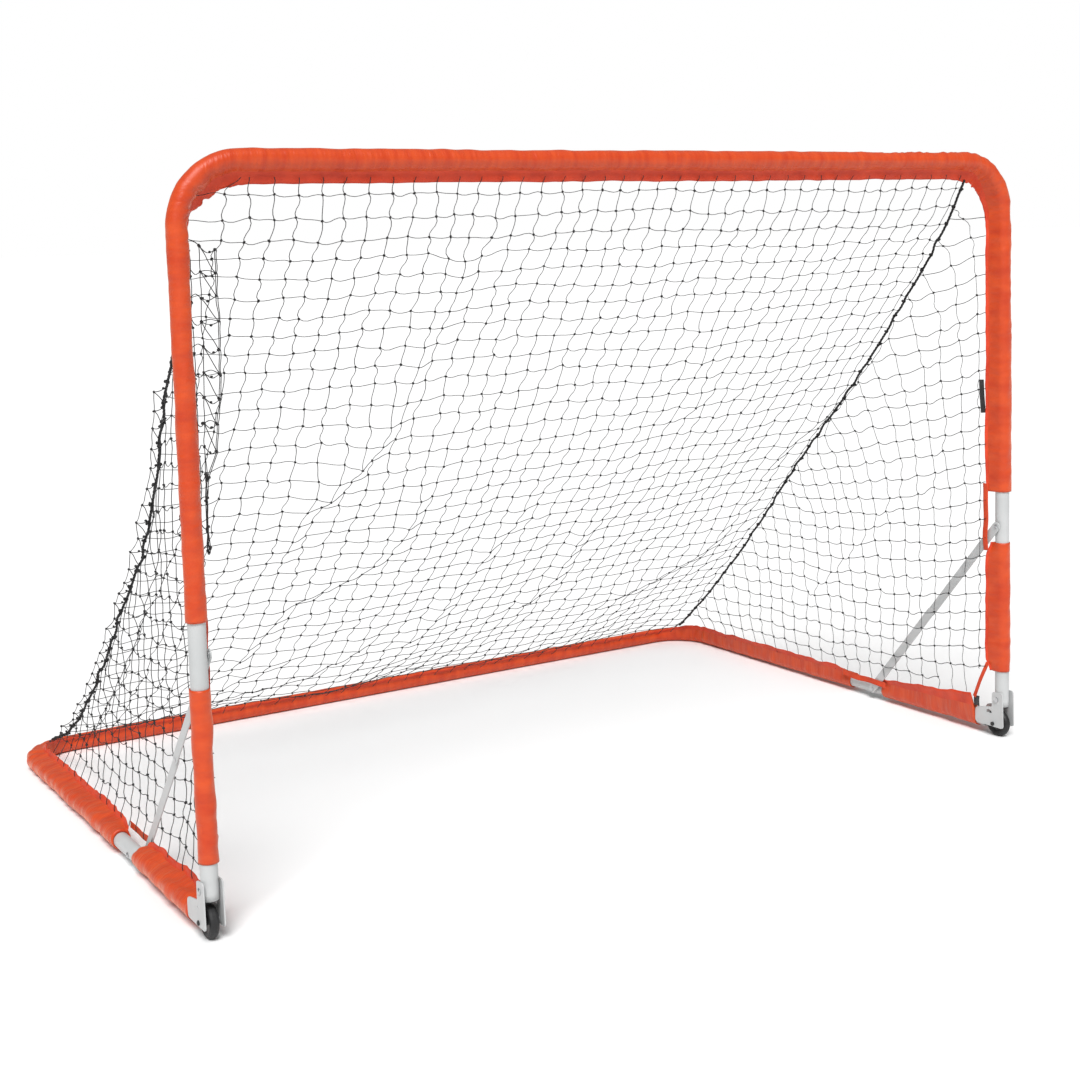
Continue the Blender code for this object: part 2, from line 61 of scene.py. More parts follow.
# Where the cloth ends: above and below each post's bare gap, and along the base behind the posts
UPPER_CLOTH_Z = 0.526
UPPER_CLOTH_ENDS = {"left": 0.518, "right": 0.537}
LOWER_CLOTH_ENDS = {"left": (0.129, 0.411), "right": (0.146, 0.427)}
FRONT_CLOTH, REAR_CLOTH_START = (0.0615, 0.352), 0.462

# ---------------------------------------------------------------- camera, floor and light


def make_camera():
    right = Vector((0.84943, -0.52697, -0.02793))
    up = Vector((0.07839, 0.07366, 0.99420))
    ahead = Vector((0.52185, 0.84669, -0.10388))
    data = bpy.data.cameras.new("camera")
    data.lens, data.sensor_width = 54.73, 36.0
    data.shift_y = -0.1176
    data.clip_end = 3000.0
    camera = bpy.data.objects.new("camera", data)
    bpy.context.scene.collection.objects.link(camera)
    matrix = Matrix((right, up, -ahead)).transposed().to_4x4()
    matrix.translation = Vector((-1.7559, -3.00745, 1.0947))
    camera.matrix_world = matrix
    bpy.context.scene.camera = camera


def make_stage():
    scene = bpy.context.scene
    scene.view_settings.view_transform = "Standard"
    scene.view_settings.look = "None"
    world = bpy.data.worlds.new("studio")
    scene.world = world
    world.use_nodes = True
    tree = world.node_tree
    sky = tree.nodes["Background"]
    sky.inputs["Color"].default_value = (1, 1, 1, 1)
    # The backdrop is seen as white, and lights the scene more softly than that.
    strength = tree.nodes.new("ShaderNodeMapRange")
    strength.inputs["To Min"].default_value, strength.inputs["To Max"].default_value = 0.30, 1.0
    tree.links.new(tree.nodes.new("ShaderNodeLightPath").outputs["Is Camera Ray"], strength.inputs["Value"])
    tree.links.new(strength.outputs["Result"], sky.inputs["Strength"])
    data = bpy.data.lights.new("soft_key", "SUN")
    data.energy, data.angle = 3.30, 0.50
    lamp = bpy.data.objects.new("soft_key", data)
    scene.collection.objects.link(lamp)
    lamp.rotation_euler = Vector((0.36, 0.60, -0.88)).to_track_quat("-Z", "Y").to_euler()
    mesh = bpy.data.meshes.new("floor")
    r = 900.0
    mesh.from_pydata([(-r, -r, 0), (r, -r, 0), (r, r, 0), (-r, r, 0)], [], [(0, 1, 2, 3)])
    floor = bpy.data.objects.new("floor", mesh)
    scene.collection.objects.link(floor)
    look = bpy.data.materials.new("floor")
    look.use_nodes = True
    shader = look.node_tree.nodes["Principled BSDF"]
    shader.inputs["Base Color"].default_value = (0.96, 0.96, 0.96, 1)
    shader.inputs["Roughness"].default_value = 0.95
    shader.inputs["Specular IOR Level"].default_value = 0.0
    floor.data.materials.append(look)


# ---------------------------------------------------------------- materials


def new_material(name, roughness, metallic=0.0, specular=0.5):
    material = bpy.data.materials.new(name)
    material.use_nodes = True
    tree = material.node_tree
    shader = tree.nodes["Principled BSDF"]
    shader.inputs["Roughness"].default_value = roughness
    shader.inputs["Metallic"].default_value = metallic
    shader.inputs["Specular IOR Level"].default_value = specular
    return material, tree, shader


def noise(tree, scale, detail=2.0, stretch=None):
    coordinates = tree.nodes.new("ShaderNodeTexCoord").outputs["Object"]
    if stretch:
        mapping = tree.nodes.new("ShaderNodeMapping")
        mapping.inputs["Scale"].default_value = stretch
        tree.links.new(coordinates, mapping.inputs["Vector"])
        coordinates = mapping.outputs["Vector"]
    texture = tree.nodes.new("ShaderNodeTexNoise")
    texture.inputs["Scale"].default_value = scale
    texture.inputs["Detail"].default_value = detail
    tree.links.new(coordinates, texture.inputs["Vector"])
    return texture.outputs["Fac"]


def ramp(tree, value, low, high, start=0.3, end=0.7):
    node = tree.nodes.new("ShaderNodeValToRGB")
    node.color_ramp.elements[0].position, node.color_ramp.elements[1].position = start, end
    node.color_ramp.elements[0].color, node.color_ramp.elements[1].color = (*low, 1), (*high, 1)
    tree.links.new(value, node.inputs["Fac"])
    return node.outputs["Color"]


def bump(tree, shader, height, strength, distance, before=None):
    node = tree.nodes.new("ShaderNodeBump")
    node.inputs["Strength"].default_value = strength
    node.inputs["Distance"].default_value = distance
    tree.links.new(height, node.inputs["Height"])
    if before:
        tree.links.new(before, node.inputs["Normal"])
    tree.links.new(node.outputs["Normal"], shader.inputs["Normal"])
    return node.outputs["Normal"]


def rough_range(tree, shader, value, low, high):
    node = tree.nodes.new("ShaderNodeMapRange")
    node.inputs["To Min"].default_value, node.inputs["To Max"].default_value = low, high
    tree.links.new(value, node.inputs["Value"])
    tree.links.new(node.outputs["Result"], shader.inputs["Roughness"])


def cloth_material(name, low, high, roughness, sheen, weave=900.0, grain=(1, 1, 1)):
    """Coated cloth; grain stretches its fine creases, which lie across the sleeve."""
    material, tree, shader = new_material(name, roughness, specular=0.45)
    tone = noise(tree, 30.0, 6.0, grain)
    tree.links.new(ramp(tree, tone, low, high), shader.inputs["Base Color"])
    shader.inputs["Sheen Weight"].default_value = sheen
    shader.inputs["Sheen Roughness"].default_value = 0.35
    shader.inputs["Sheen Tint"].default_value = (1.0, 0.55, 0.32, 1)
    threads = bump(tree, shader, noise(tree, weave, 1.0), 0.35, 0.0004)
    creases = bump(tree, shader, noise(tree, 34.0, 3.0, grain), 0.75, 0.0034, threads)
    bump(tree, shader, noise(tree, 95.0, 2.0, grain), 0.55, 0.0012, creases)
    rough_range(tree, shader, noise(tree, 35.0, 3.0), roughness - 0.08, roughness + 0.10)
    return material


def paint_material():
    material, tree, shader = new_material("white_paint", 0.34)
    tree.links.new(
        ramp(tree, noise(tree, 9.0, 5.0), (0.46, 0.475, 0.475), (0.55, 0.56, 0.56), 0.25, 0.6),
        shader.inputs["Base Color"],
    )
    bump(tree, shader, noise(tree, 620.0, 2.0), 0.12, 0.0003)
    rough_range(tree, shader, noise(tree, 60.0, 4.0), 0.28, 0.46)
    return material


def zinc_material():
    material, tree, shader = new_material("zinc", 0.34, metallic=1.0)
    tree.links.new(
        ramp(tree, noise(tree, 160.0, 4.0), (0.42, 0.43, 0.44), (0.66, 0.67, 0.68)),
        shader.inputs["Base Color"],
    )
    bump(tree, shader, noise(tree, 900.0, 2.0), 0.15, 0.0002)
    rough_range(tree, shader, noise(tree, 240.0, 3.0), 0.25, 0.48)
    return material


def dark_material(name, low, high, roughness, grain, depth, sheen=0.0):
    material, tree, shader = new_material(name, roughness, specular=0.4)
    tree.links.new(ramp(tree, noise(tree, 45.0, 4.0), low, high), shader.inputs["Base Color"])
    shader.inputs["Sheen Weight"].default_value = sheen
    bump(tree, shader, noise(tree, grain, 3.0), 0.4, depth)
    rough_range(tree, shader, noise(tree, 80.0, 3.0), roughness - 0.1, roughness + 0.1)
    return material


ORANGE = (0.53, 0.040, 0.005), (0.66, 0.074, 0.011)
CLOTH = cloth_material("orange_cloth", *ORANGE, 0.42, 0.35)
CLOTH_UP = cloth_material("orange_cloth_up", *ORANGE, 0.42, 0.35, grain=(0.6, 0.6, 1.5))
CLOTH_ALONG = cloth_material("orange_cloth_along", *ORANGE, 0.42, 0.35, grain=(2.2, 0.4, 0.4))
CLOTH_BACK = cloth_material("orange_cloth_back", *ORANGE, 0.42, 0.35, grain=(0.4, 2.2, 0.4))
# A darker, redder copy of the orange cloth for the seam flaps: painted shade.
FLAP_PAINTED_SHADE = cloth_material("orange_flap_painted_shade", (0.54, 0.030, 0.004), (0.72, 0.056, 0.010), 0.5, 0.25)
WEBBING = cloth_material("orange_webbing", (0.58, 0.040, 0.005), (0.68, 0.060, 0.010), 0.60, 0.2, 520.0)
THREAD = cloth_material("orange_thread", (0.46, 0.045, 0.010), (0.56, 0.065, 0.015), 0.6, 0.1)
PAINT = paint_material()
ZINC = zinc_material()
OXIDE = dark_material("black_oxide", (0.012, 0.012, 0.012), (0.030, 0.030, 0.030), 0.45, 500.0, 0.0002)
HOOKS = dark_material("hook_and_loop", (0.010, 0.010, 0.011), (0.035, 0.035, 0.036), 0.85, 700.0, 0.0012, 0.3)
TYRE = dark_material("tyre_rubber", (0.010, 0.010, 0.010), (0.022, 0.022, 0.023), 0.55, 350.0, 0.0003)
PLASTIC = dark_material("black_plastic", (0.016, 0.016, 0.017), (0.026, 0.026, 0.027), 0.42, 500.0, 0.0002)
TWINE = dark_material("net_twine", (0.008, 0.008, 0.009), (0.030, 0.030, 0.031), 0.62, 1100.0, 0.0003)
ROPE = dark_material("braided_rope", (0.006, 0.006, 0.006), (0.024, 0.024, 0.025), 0.66, 900.0, 0.0004)

# ---------------------------------------------------------------- shapes


def lattice(seed):
    return np.random.RandomState(seed).rand(128, 128)


def value_noise(x, y, seed):
    """Smooth noise from -1 to 1 with a cell of 1."""
    table = lattice(seed)
    x, y = np.broadcast_arrays(np.asarray(x, float), np.asarray(y, float))
    xi, yi = np.floor(x).astype(int), np.floor(y).astype(int)
    fx, fy = x - xi, y - yi
    fx, fy = fx * fx * (3 - 2 * fx), fy * fy * (3 - 2 * fy)
    a, b = table[xi % 128, yi % 128], table[(xi + 1) % 128, yi % 128]
    c, d = table[xi % 128, (yi + 1) % 128], table[(xi + 1) % 128, (yi + 1) % 128]
    return 2 * ((a * (1 - fx) + b * fx) * (1 - fy) + (c * (1 - fx) + d * fx) * fy) - 1


def around_noise(s, phi, rate, seed):
    """Noise along s that closes on itself around phi."""
    c, d = np.cos(phi) * rate + 40.3, np.sin(phi) * rate + 17.7
    return 0.5 * (value_noise(s, c, seed) + value_noise(s + 31.7, d, seed + 1))


def step(edge0, edge1, x):
    t = np.clip((x - edge0) / (edge1 - edge0), 0, 1)
    return t * t * (3 - 2 * t)


def make_object(name, points, faces, material, smooth=True):
    mesh = bpy.data.meshes.new(name)
    mesh.from_pydata([tuple(p) for p in points], [], faces)
    mesh.validate()
    mesh.polygons.foreach_set("use_smooth", [smooth] * len(mesh.polygons))
    mesh.materials.append(material)
    obj = bpy.data.objects.new(name, mesh)
    bpy.context.scene.collection.objects.link(obj)
    return obj


class Pile:
    """Points and faces of many small shapes gathered into one mesh."""

    def __init__(self):
        self.points, self.faces, self.count = [], [], 0

    def add(self, points, faces):
        self.points.append(np.asarray(points, float))
        self.faces += [tuple(i + self.count for i in face) for face in faces]
        self.count += len(points)

    def tube(self, path, radius, sides, ref, ends=True):
        path = np.asarray(path, float)
        n = len(path)
        along = np.gradient(path, axis=0)
        along /= np.linalg.norm(along, axis=1)[:, None] + 1e-12
        ref = np.broadcast_to(np.asarray(ref, float), path.shape)
        a = ref - (ref * along).sum(1)[:, None] * along
        a /= np.linalg.norm(a, axis=1)[:, None] + 1e-12
        b = np.cross(along, a)
        radius = np.broadcast_to(np.asarray(radius, float), (n,))
        turn = np.arange(sides) * 2 * np.pi / sides
        ring = path[:, None] + radius[:, None, None] * (
            np.cos(turn)[None, :, None] * a[:, None] + np.sin(turn)[None, :, None] * b[:, None]
        )
        faces = []
        for i in range(n - 1):
            for k in range(sides):
                m = (k + 1) % sides
                faces.append((i * sides + k, i * sides + m, (i + 1) * sides + m, (i + 1) * sides + k))
        if ends:
            faces.append(tuple(range(sides))[::-1])
            faces.append(tuple((n - 1) * sides + k for k in range(sides)))
        self.add(ring.reshape(-1, 3), faces)

    def build(self, name, material, smooth=True):
        return make_object(name, np.concatenate(self.points), self.faces, material, smooth)


def base_z(behind):
    """Height of the base tubes' centre line at a distance behind the posts."""
    return BASE_FRONT_Z + (BASE_BACK_Z - BASE_FRONT_Z) * np.clip(behind / DEPTH, 0, 1)


def spaced(points, steps):
    """The polyline's points again, spaced by steps, a function of the distance run."""
    points = np.asarray(points, float)
    run = np.concatenate([[0], np.cumsum(np.linalg.norm(np.diff(points, axis=0), axis=1))])
    at = [0.0]
    while at[-1] < run[-1] - 1e-6:
        at.append(at[-1] + steps(at[-1]))
    at = np.array(at) * run[-1] / at[-1]
    return at, np.stack([np.interp(at, run, points[:, k]) for k in range(3)], 1)


def bend(start, corner, end, count=24):
    """From start to end past a corner rounded to the tube's bend radius."""
    start, corner, end = Vector(start), Vector(corner), Vector(end)
    into, out = (corner - start).normalized(), (end - corner).normalized()
    centre = corner - into * CORNER_R + out * CORNER_R
    points = [start]
    for i in range(count + 1):
        turn = math.pi / 2 * i / count
        points.append(
            centre - out * (CORNER_R * math.cos(turn)) + into * (CORNER_R * math.sin(turn))
        )
    return [tuple(p) for p in [*points, end]]


def frames(path, ref):
    along = np.gradient(path, axis=0)
    along /= np.linalg.norm(along, axis=1)[:, None]
    ref = np.broadcast_to(np.asarray(ref, float), path.shape)
    a = ref - (ref * along).sum(1)[:, None] * along
    a /= np.linalg.norm(a, axis=1)[:, None]
    return along, a, np.cross(along, a)


def sleeve(name, path, ref, radius, ripple, flap, steps, body, node, count=34):
    """A cloth sleeve stitched along a flap, as a closed shell over the tube.

    ripple(s, phi) adds to the radius; flap(s) gives base angle, direction, length and wave."""
    s, centre = spaced(path, steps)
    _, a, b = frames(centre, ref)
    base, lean, length, wave = (np.broadcast_to(v, s.shape) for v in flap(s, s[-1]))
    open_half = 0.05
    phi = base[:, None] + open_half + (2 * np.pi - 2 * open_half) * np.arange(count)[None] / (count - 1)
    r = radius(s, phi) + ripple(s[:, None], phi, s[-1])
    p, q = np.cos(phi) * r, np.sin(phi) * r
    half = 0.0006
    out, away = (np.cos(lean), np.sin(lean)), (-np.sin(lean), np.cos(lean))
    r0 = r[:, 0]
    reach = np.array([0.25, 0.5, 0.75, 1.0])
    foot = np.stack([np.cos(base) * r0, np.sin(base) * r0], 1)
    sides = []
    for sign, ks in ((-1, reach), (1, reach[::-1])):
        for k in ks:
            off = wave * k ** 1.5 + sign * half
            sides.append(
                (foot[:, 0] + out[0] * length * k + away[0] * off,
                 foot[:, 1] + out[1] * length * k + away[1] * off)
            )
    p = np.concatenate([p, np.stack([v[0] for v in sides], 1)], 1)
    q = np.concatenate([q, np.stack([v[1] for v in sides], 1)], 1)
    outer = centre[:, None] + p[:, :, None] * a[:, None] + q[:, :, None] * b[:, None]
    n, m = p.shape
    pile = Pile()
    faces = [
        (i * m + k, (i + 1) * m + k, (i + 1) * m + (k + 1) % m, i * m + (k + 1) % m)
        for i in range(n - 1)
        for k in range(m)
    ]
    pick = np.unique(np.concatenate([np.arange(0, n, 6), [n - 1]]))
    inner_count = 14
    turn = base[pick][:, None] + 2 * np.pi * (np.arange(inner_count)[None] + 0.5) / inner_count
    inner_r = TUBE_R + 0.0008
    inner = centre[pick][:, None] + inner_r * (
        np.cos(turn)[:, :, None] * a[pick][:, None] + np.sin(turn)[:, :, None] * b[pick][:, None]
    )
    first = n * m
    w = len(pick)
    for i in range(w - 1):
        for k in range(inner_count):
            j = (k + 1) % inner_count
            faces.append(
                (first + i * inner_count + k, first + i * inner_count + j,
                 first + (i + 1) * inner_count + j, first + (i + 1) * inner_count + k)
            )
    for outer_start, inner_start, flip in (
        (0, first, False), ((n - 1) * m, first + (w - 1) * inner_count, True)
    ):
        angle = np.arange(m)
        near = [min(int(min(i, count - 1) * inner_count / (count - 1)), inner_count - 1) if i < count
                else inner_count for i in angle]
        near = [v % inner_count for v in near]
        for i in range(m):
            j = (i + 1) % m
            face = [outer_start + i, outer_start + j, inner_start + near[j]]
            if near[i] != near[j]:
                between = [face[0], inner_start + near[j], inner_start + near[i]]
                faces.append(tuple(between if not flip else between[::-1]))
            faces.append(tuple(face if not flip else face[::-1]))
    pile.add(np.concatenate([outer.reshape(-1, 3), inner.reshape(-1, 3)]), faces)
    obj = pile.build(name, CLOTH)
    for extra in (CLOTH_UP, CLOTH_ALONG, CLOTH_BACK, FLAP_PAINTED_SHADE):
        obj.data.materials.append(extra)
    heading = np.abs(frames(centre, ref)[0])
    lie = np.argmax(heading[:, [2, 0, 1]] * (heading[:, [2, 0, 1]] > 0.8), 1) + 1
    lie[heading.max(1) < 0.8] = 0
    looks = np.zeros(len(obj.data.polygons), int)
    # Flap faces (columns from count - 1 on) take the darker copy of the cloth, which is painted shade.
    looks[:(n - 1) * m] = np.where(np.arange(m)[None] >= count - 1, 4, lie[:-1, None]).ravel()
    obj.data.polygons.foreach_set("material_index", looks)
    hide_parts(node)
    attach(obj, body)


def drawn_off(phi, base, tip, r0=0.0168):
    """Radius of cloth drawn off the round tube to a seam at angle base, tip from the centre."""
    theta = np.arccos(np.clip(r0 / tip, 0, 1))
    d = np.abs((phi - base + np.pi) % (2 * np.pi) - np.pi)
    return np.where(d < theta, r0 / np.cos(np.maximum(theta - d, 0)), r0)


def streaks(s, phi, pitch, slant, seed):
    """Sharp creases slanting across the top of a sleeve."""
    across = (phi - np.pi / 2 + np.pi) % (2 * np.pi) - np.pi
    fold = value_noise(s / pitch + slant * across, 0.8 * across + 5.0, seed)
    return (1 - 2.4 * np.abs(fold)) * np.clip(np.cos(across) * 1.2 + 0.1, 0, 1)


def tube_piece(name, path, ref, radius, material, body, node):
    """A smooth round tube with its wall showing at the ends."""
    _, centre = spaced(path, lambda s: 0.012)
    _, a, b = frames(centre, ref)
    sides = 40
    turn = np.arange(sides) * 2 * np.pi / sides
    ring = np.cos(turn)[None, :, None] * a[:, None] + np.sin(turn)[None, :, None] * b[:, None]
    outer, inner = centre[:, None] + ring * radius, centre[:, None] + ring * (radius - 0.0014)
    n = len(centre)
    faces = []
    for i in range(n - 1):
        for k in range(sides):
            j = (k + 1) % sides
            faces.append((i * sides + k, (i + 1) * sides + k, (i + 1) * sides + j, i * sides + j))
            f = n * sides
            faces.append((f + i * sides + k, f + i * sides + j, f + (i + 1) * sides + j,
                          f + (i + 1) * sides + k))
    for k in range(sides):
        j = (k + 1) % sides
        f = n * sides
        faces.append((k, j, f + j, f + k))
        e = (n - 1) * sides
        faces.append((e + j, e + k, f + e + k, f + e + j))
    obj = make_object(name, np.concatenate([outer.reshape(-1, 3), inner.reshape(-1, 3)]), faces, material)
    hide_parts(node)
    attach(obj, body)


# ---------------------------------------------------------------- tubes and sleeves

make_camera()
make_stage()

front_path = bend((-POST_X, POST_Y, UPPER_CLOTH_ENDS["left"]), (-POST_X, POST_Y, CROSSBAR_Z),
                  (0, POST_Y, CROSSBAR_Z))
front_path += [(-x, y, z) for x, y, z in front_path[::-1]][1:]
front_path[-1] = (POST_X, POST_Y, UPPER_CLOTH_ENDS["right"])


def base_side(side, start, stop):
    return [(side * POST_X, POST_Y + d, base_z(d)) for d in (start, stop)]


rear_path = bend((-POST_X, POST_Y + REAR_CLOTH_START, base_z(REAR_CLOTH_START)),
                 (-POST_X, BACK_Y, BASE_BACK_Z), (0, BACK_Y, BASE_BACK_Z))
rear_path += [(-x, y, z) for x, y, z in rear_path[::-1]][1:]

for which, side in SIDES.items():
    tube_piece(
        f"base_bar_{which}",
        bend((side * POST_X, POST_Y + BASE_TUBE_START, base_z(BASE_TUBE_START)),
             (side * POST_X, BACK_Y, BASE_BACK_Z), (side * SPIGOT_GAP, BACK_Y, BASE_BACK_Z)),
        (0, 0, 1), TUBE_R, PAINT, "base_frame", f"base_tube_{which}")
    tube_piece(
        f"post_{which}",
        bend((side * POST_X, POST_Y, POST_FOOT_Z), (side * POST_X, POST_Y, CROSSBAR_Z),
             (side * SPIGOT_GAP, POST_Y, CROSSBAR_Z)),
        (0, 1, 0), TUBE_R, PAINT, "front_frame", f"front_tube_{which}")

# Lengths along the sleeves: in all, and to the middle of the first bend
TOP_LENGTH = 2 * (CROSSBAR_Z - UPPER_CLOTH_Z - CORNER_R) + 2 * (POST_X - CORNER_R) + math.pi * CORNER_R
BEND_AT = CROSSBAR_Z - UPPER_CLOTH_Z - CORNER_R + math.pi * CORNER_R / 4


def top_bend(s, total):
    """1 on the bends of the front frame, fading to 0 along the straights."""
    d = np.minimum(np.abs(s - BEND_AT), np.abs(total - BEND_AT - s))
    return np.exp(-(d / 0.085) ** 2)


def top_ripple(s, phi, total):
    inner = np.clip(-np.sin(phi), 0, 1)
    on_bend = top_bend(s, total)
    gather = around_noise(s / 0.0095, phi, 0.6, 3)
    pleat = np.abs(around_noise(s / 0.014 + 0.9 * np.sin(phi), phi, 0.45, 9)) ** 0.7
    value = on_bend * ((0.0008 + 0.0016 * inner) * gather + (0.0006 + 0.0080 * inner) * (pleat - 0.36))
    middle = step(BEND_AT + 0.03, BEND_AT + 0.15, s) * step(BEND_AT + 0.03, BEND_AT + 0.15, total - s)
    right = step(0.60, 0.74, s / total) * step(0.40, 0.56, total - s)
    value = value + right * 0.0012 * streaks(s, phi, 0.0135, 1.9, 21)
    value = value + middle * 0.0014 * around_noise(s / 0.026 + 1.4 * np.sin(phi), phi, 0.8, 33)
    value = value + middle * 0.0010 * value_noise(s / 0.16, np.sin(phi) * 1.6 + 4.0, 35)
    post = (1 - middle) * (1 - on_bend)
    value = value + post * 0.0016 * around_noise(s / 0.045 + 1.6 * np.sin(phi), phi, 0.9, 41)
    value = value + post * 0.0010 * around_noise(s / 0.013 + 0.6 * np.sin(phi), phi, 0.7, 45)
    end = np.exp(-np.minimum(s, total - s) / 0.020)
    return value + end * 0.0008 * around_noise(s / 0.01, phi, 1.6, 51) + 0.0005 * around_noise(
        s / 0.15, phi, 1.0, 61)


def on_the_bar(s, total):
    return step(BEND_AT - 0.06, BEND_AT + 0.07, s) * step(BEND_AT - 0.06, BEND_AT + 0.07, total - s)


def top_seam(s, total):
    """The seam's angle round the tube, and its distance from the tube's centre."""
    bar = on_the_bar(s, total)
    tip = 0.0305 * (1 - bar) + 0.0200 * bar + 0.003 * top_bend(s, total)
    return np.radians(-45 - 34 * bar), tip


def top_radius(s, phi):
    total = s[-1]
    base, tip = top_seam(s, total)
    r = drawn_off(phi, base[:, None], tip[:, None], 0.0167)
    loose = 1 - step(0.28, 0.50, total - s)
    return r + loose[:, None] * 0.0046 * np.clip(np.sin(phi), 0, 1) ** 3


def top_flap(s, total):
    bar, on_bend = on_the_bar(s, total), top_bend(s, total)
    base = top_seam(s, total)[0]
    lean = np.radians(-45 - 36 * bar)
    scallop = value_noise(s / 0.020, 0.5, 71) * on_bend + value_noise(s / 0.045, 3.5, 73) * (1 - on_bend)
    length = 0.0070 * (1 - bar) + 0.0190 * bar + 0.006 * on_bend
    length = length + (0.0010 + 0.0052 * on_bend) * scallop
    length = np.maximum(length - 0.004 * np.exp(-np.minimum(s, total - s) / 0.02), 0.003)
    wave = (0.0018 + 0.0055 * on_bend) * value_noise(s / 0.024, 7.5, 77)
    wave = wave + 0.002 * value_noise(s / 0.09, 2.2, 79)
    return base, lean, length, wave


def top_steps(s):
    d = min(abs(s - BEND_AT), abs(TOP_LENGTH - BEND_AT - s))
    if d < 0.16 or 0.58 * TOP_LENGTH < s < TOP_LENGTH - BEND_AT:
        return 0.0028
    return 0.0045


sleeve("front_cover", front_path, (0, 1, 0), top_radius, top_ripple, top_flap, top_steps,
       "front_frame", "top_sleeve")


def post_ripple(seed):
    def ripple(s, phi, total):
        end = np.exp(-np.minimum(s, total - s) / 0.018)
        return (0.0017 * around_noise(s / 0.040 + 1.5 * np.sin(phi), phi, 1.0, seed)
                + 0.0009 * end * around_noise(s / 0.011, phi, 1.5, seed + 4)
                + 0.0009 * around_noise(s / 0.013 + 0.8 * np.sin(phi), phi, 0.7, seed + 7))
    return ripple


def post_radius(s, phi):
    end = np.minimum(s, s[-1] - s)
    tip = 0.0225 + 0.008 * step(0.0, 0.03, end)
    return drawn_off(phi, np.radians(-45), tip[:, None], 0.0167)


def post_flap(seed):
    def flap(s, total):
        length = 0.0068 + 0.0010 * value_noise(s / 0.05, 1.5, seed)
        length = length - 0.003 * np.exp(-s / 0.02) - 0.003 * np.exp(-(total - s) / 0.02)
        wave = 0.0018 * value_noise(s / 0.04, 4.5, seed + 2)
        return np.radians(np.full(s.shape, -45.0)), np.radians(np.full(s.shape, -45.0)), length, wave
    return flap


for which, side in SIDES.items():
    # Going up on the left and down on the right keeps the flap inward and behind on both.
    low, high = LOWER_CLOTH_ENDS[which]
    path = [(side * POST_X, POST_Y, low), (side * POST_X, POST_Y, high)][::-side]
    sleeve(f"lower_cover_{which}", path, (0, 1, 0), post_radius,
           post_ripple(101 + 20 * side), post_flap(111 + 20 * side), lambda s: 0.004,
           "front_frame", f"lower_sleeve_{which}")

REAR_BEND = DEPTH - REAR_CLOTH_START - CORNER_R + math.pi * CORNER_R / 4
REAR_LENGTH = 2 * (DEPTH - REAR_CLOTH_START - CORNER_R) + 2 * (POST_X - CORNER_R) + math.pi * CORNER_R


def rear_side(s, total):
    return 1 - step(REAR_BEND - 0.06, REAR_BEND + 0.08, np.minimum(s, total - s))


def rear_ripple(s, phi, total):
    d = np.minimum(np.abs(s - REAR_BEND), np.abs(total - REAR_BEND - s))
    on_bend = np.exp(-(d / 0.10) ** 2)
    inner = np.clip(np.sin(phi), 0, 1)
    gather = around_noise(s / 0.0105, phi, 0.7, 131)
    pleat = np.abs(around_noise(s / 0.016, phi, 0.6, 137))
    value = on_bend * (0.0012 * gather + 0.0030 * inner * (pleat - 0.25))
    value = value + rear_side(s, total) * 0.0032 * around_noise(s / 0.015 + 1.5 * np.sin(phi), phi, 0.6, 141)
    value = value + 0.0010 * around_noise(s / 0.045 + np.sin(phi), phi, 0.9, 143)
    return value * (1 - 0.8 * np.clip(-np.cos(phi), 0, 1))


def rear_radius(s, phi):
    total = s[-1]
    side = rear_side(s, total)
    edge = np.minimum(s, total - s)
    tip = 0.0195 + (0.0085 * side) * step(0.0, 0.06, edge)
    r = drawn_off(phi, np.radians(52 - 14 * side)[:, None], tip[:, None], 0.0172)
    r = r + side[:, None] * 0.0022 * np.clip(np.cos(phi + 0.5), 0, 1)
    return np.minimum(r, 0.0172 / np.maximum(-np.cos(phi), 0.30))


def rear_flap(s, total):
    side = rear_side(s, total)
    edge = np.minimum(s, total - s)
    length = 0.010 + 0.002 * side + 0.0020 * value_noise(s / 0.035, 5.5, 151)
    length = length * (0.5 + 0.5 * step(0.0, 0.03, edge))
    wave = (0.0020 + 0.001 * side) * value_noise(s / 0.028, 6.5, 153)
    return np.radians(52 - 14 * side), np.radians(50 - 28 * side), length, wave


sleeve("rear_cover", rear_path, (0, 0, 1), rear_radius, rear_ripple, rear_flap,
       lambda s: 0.0032 if min(abs(s - REAR_BEND), abs(REAR_LENGTH - REAR_BEND - s)) < 0.14 else 0.0052,
       "base_frame", "rear_base_sleeve")

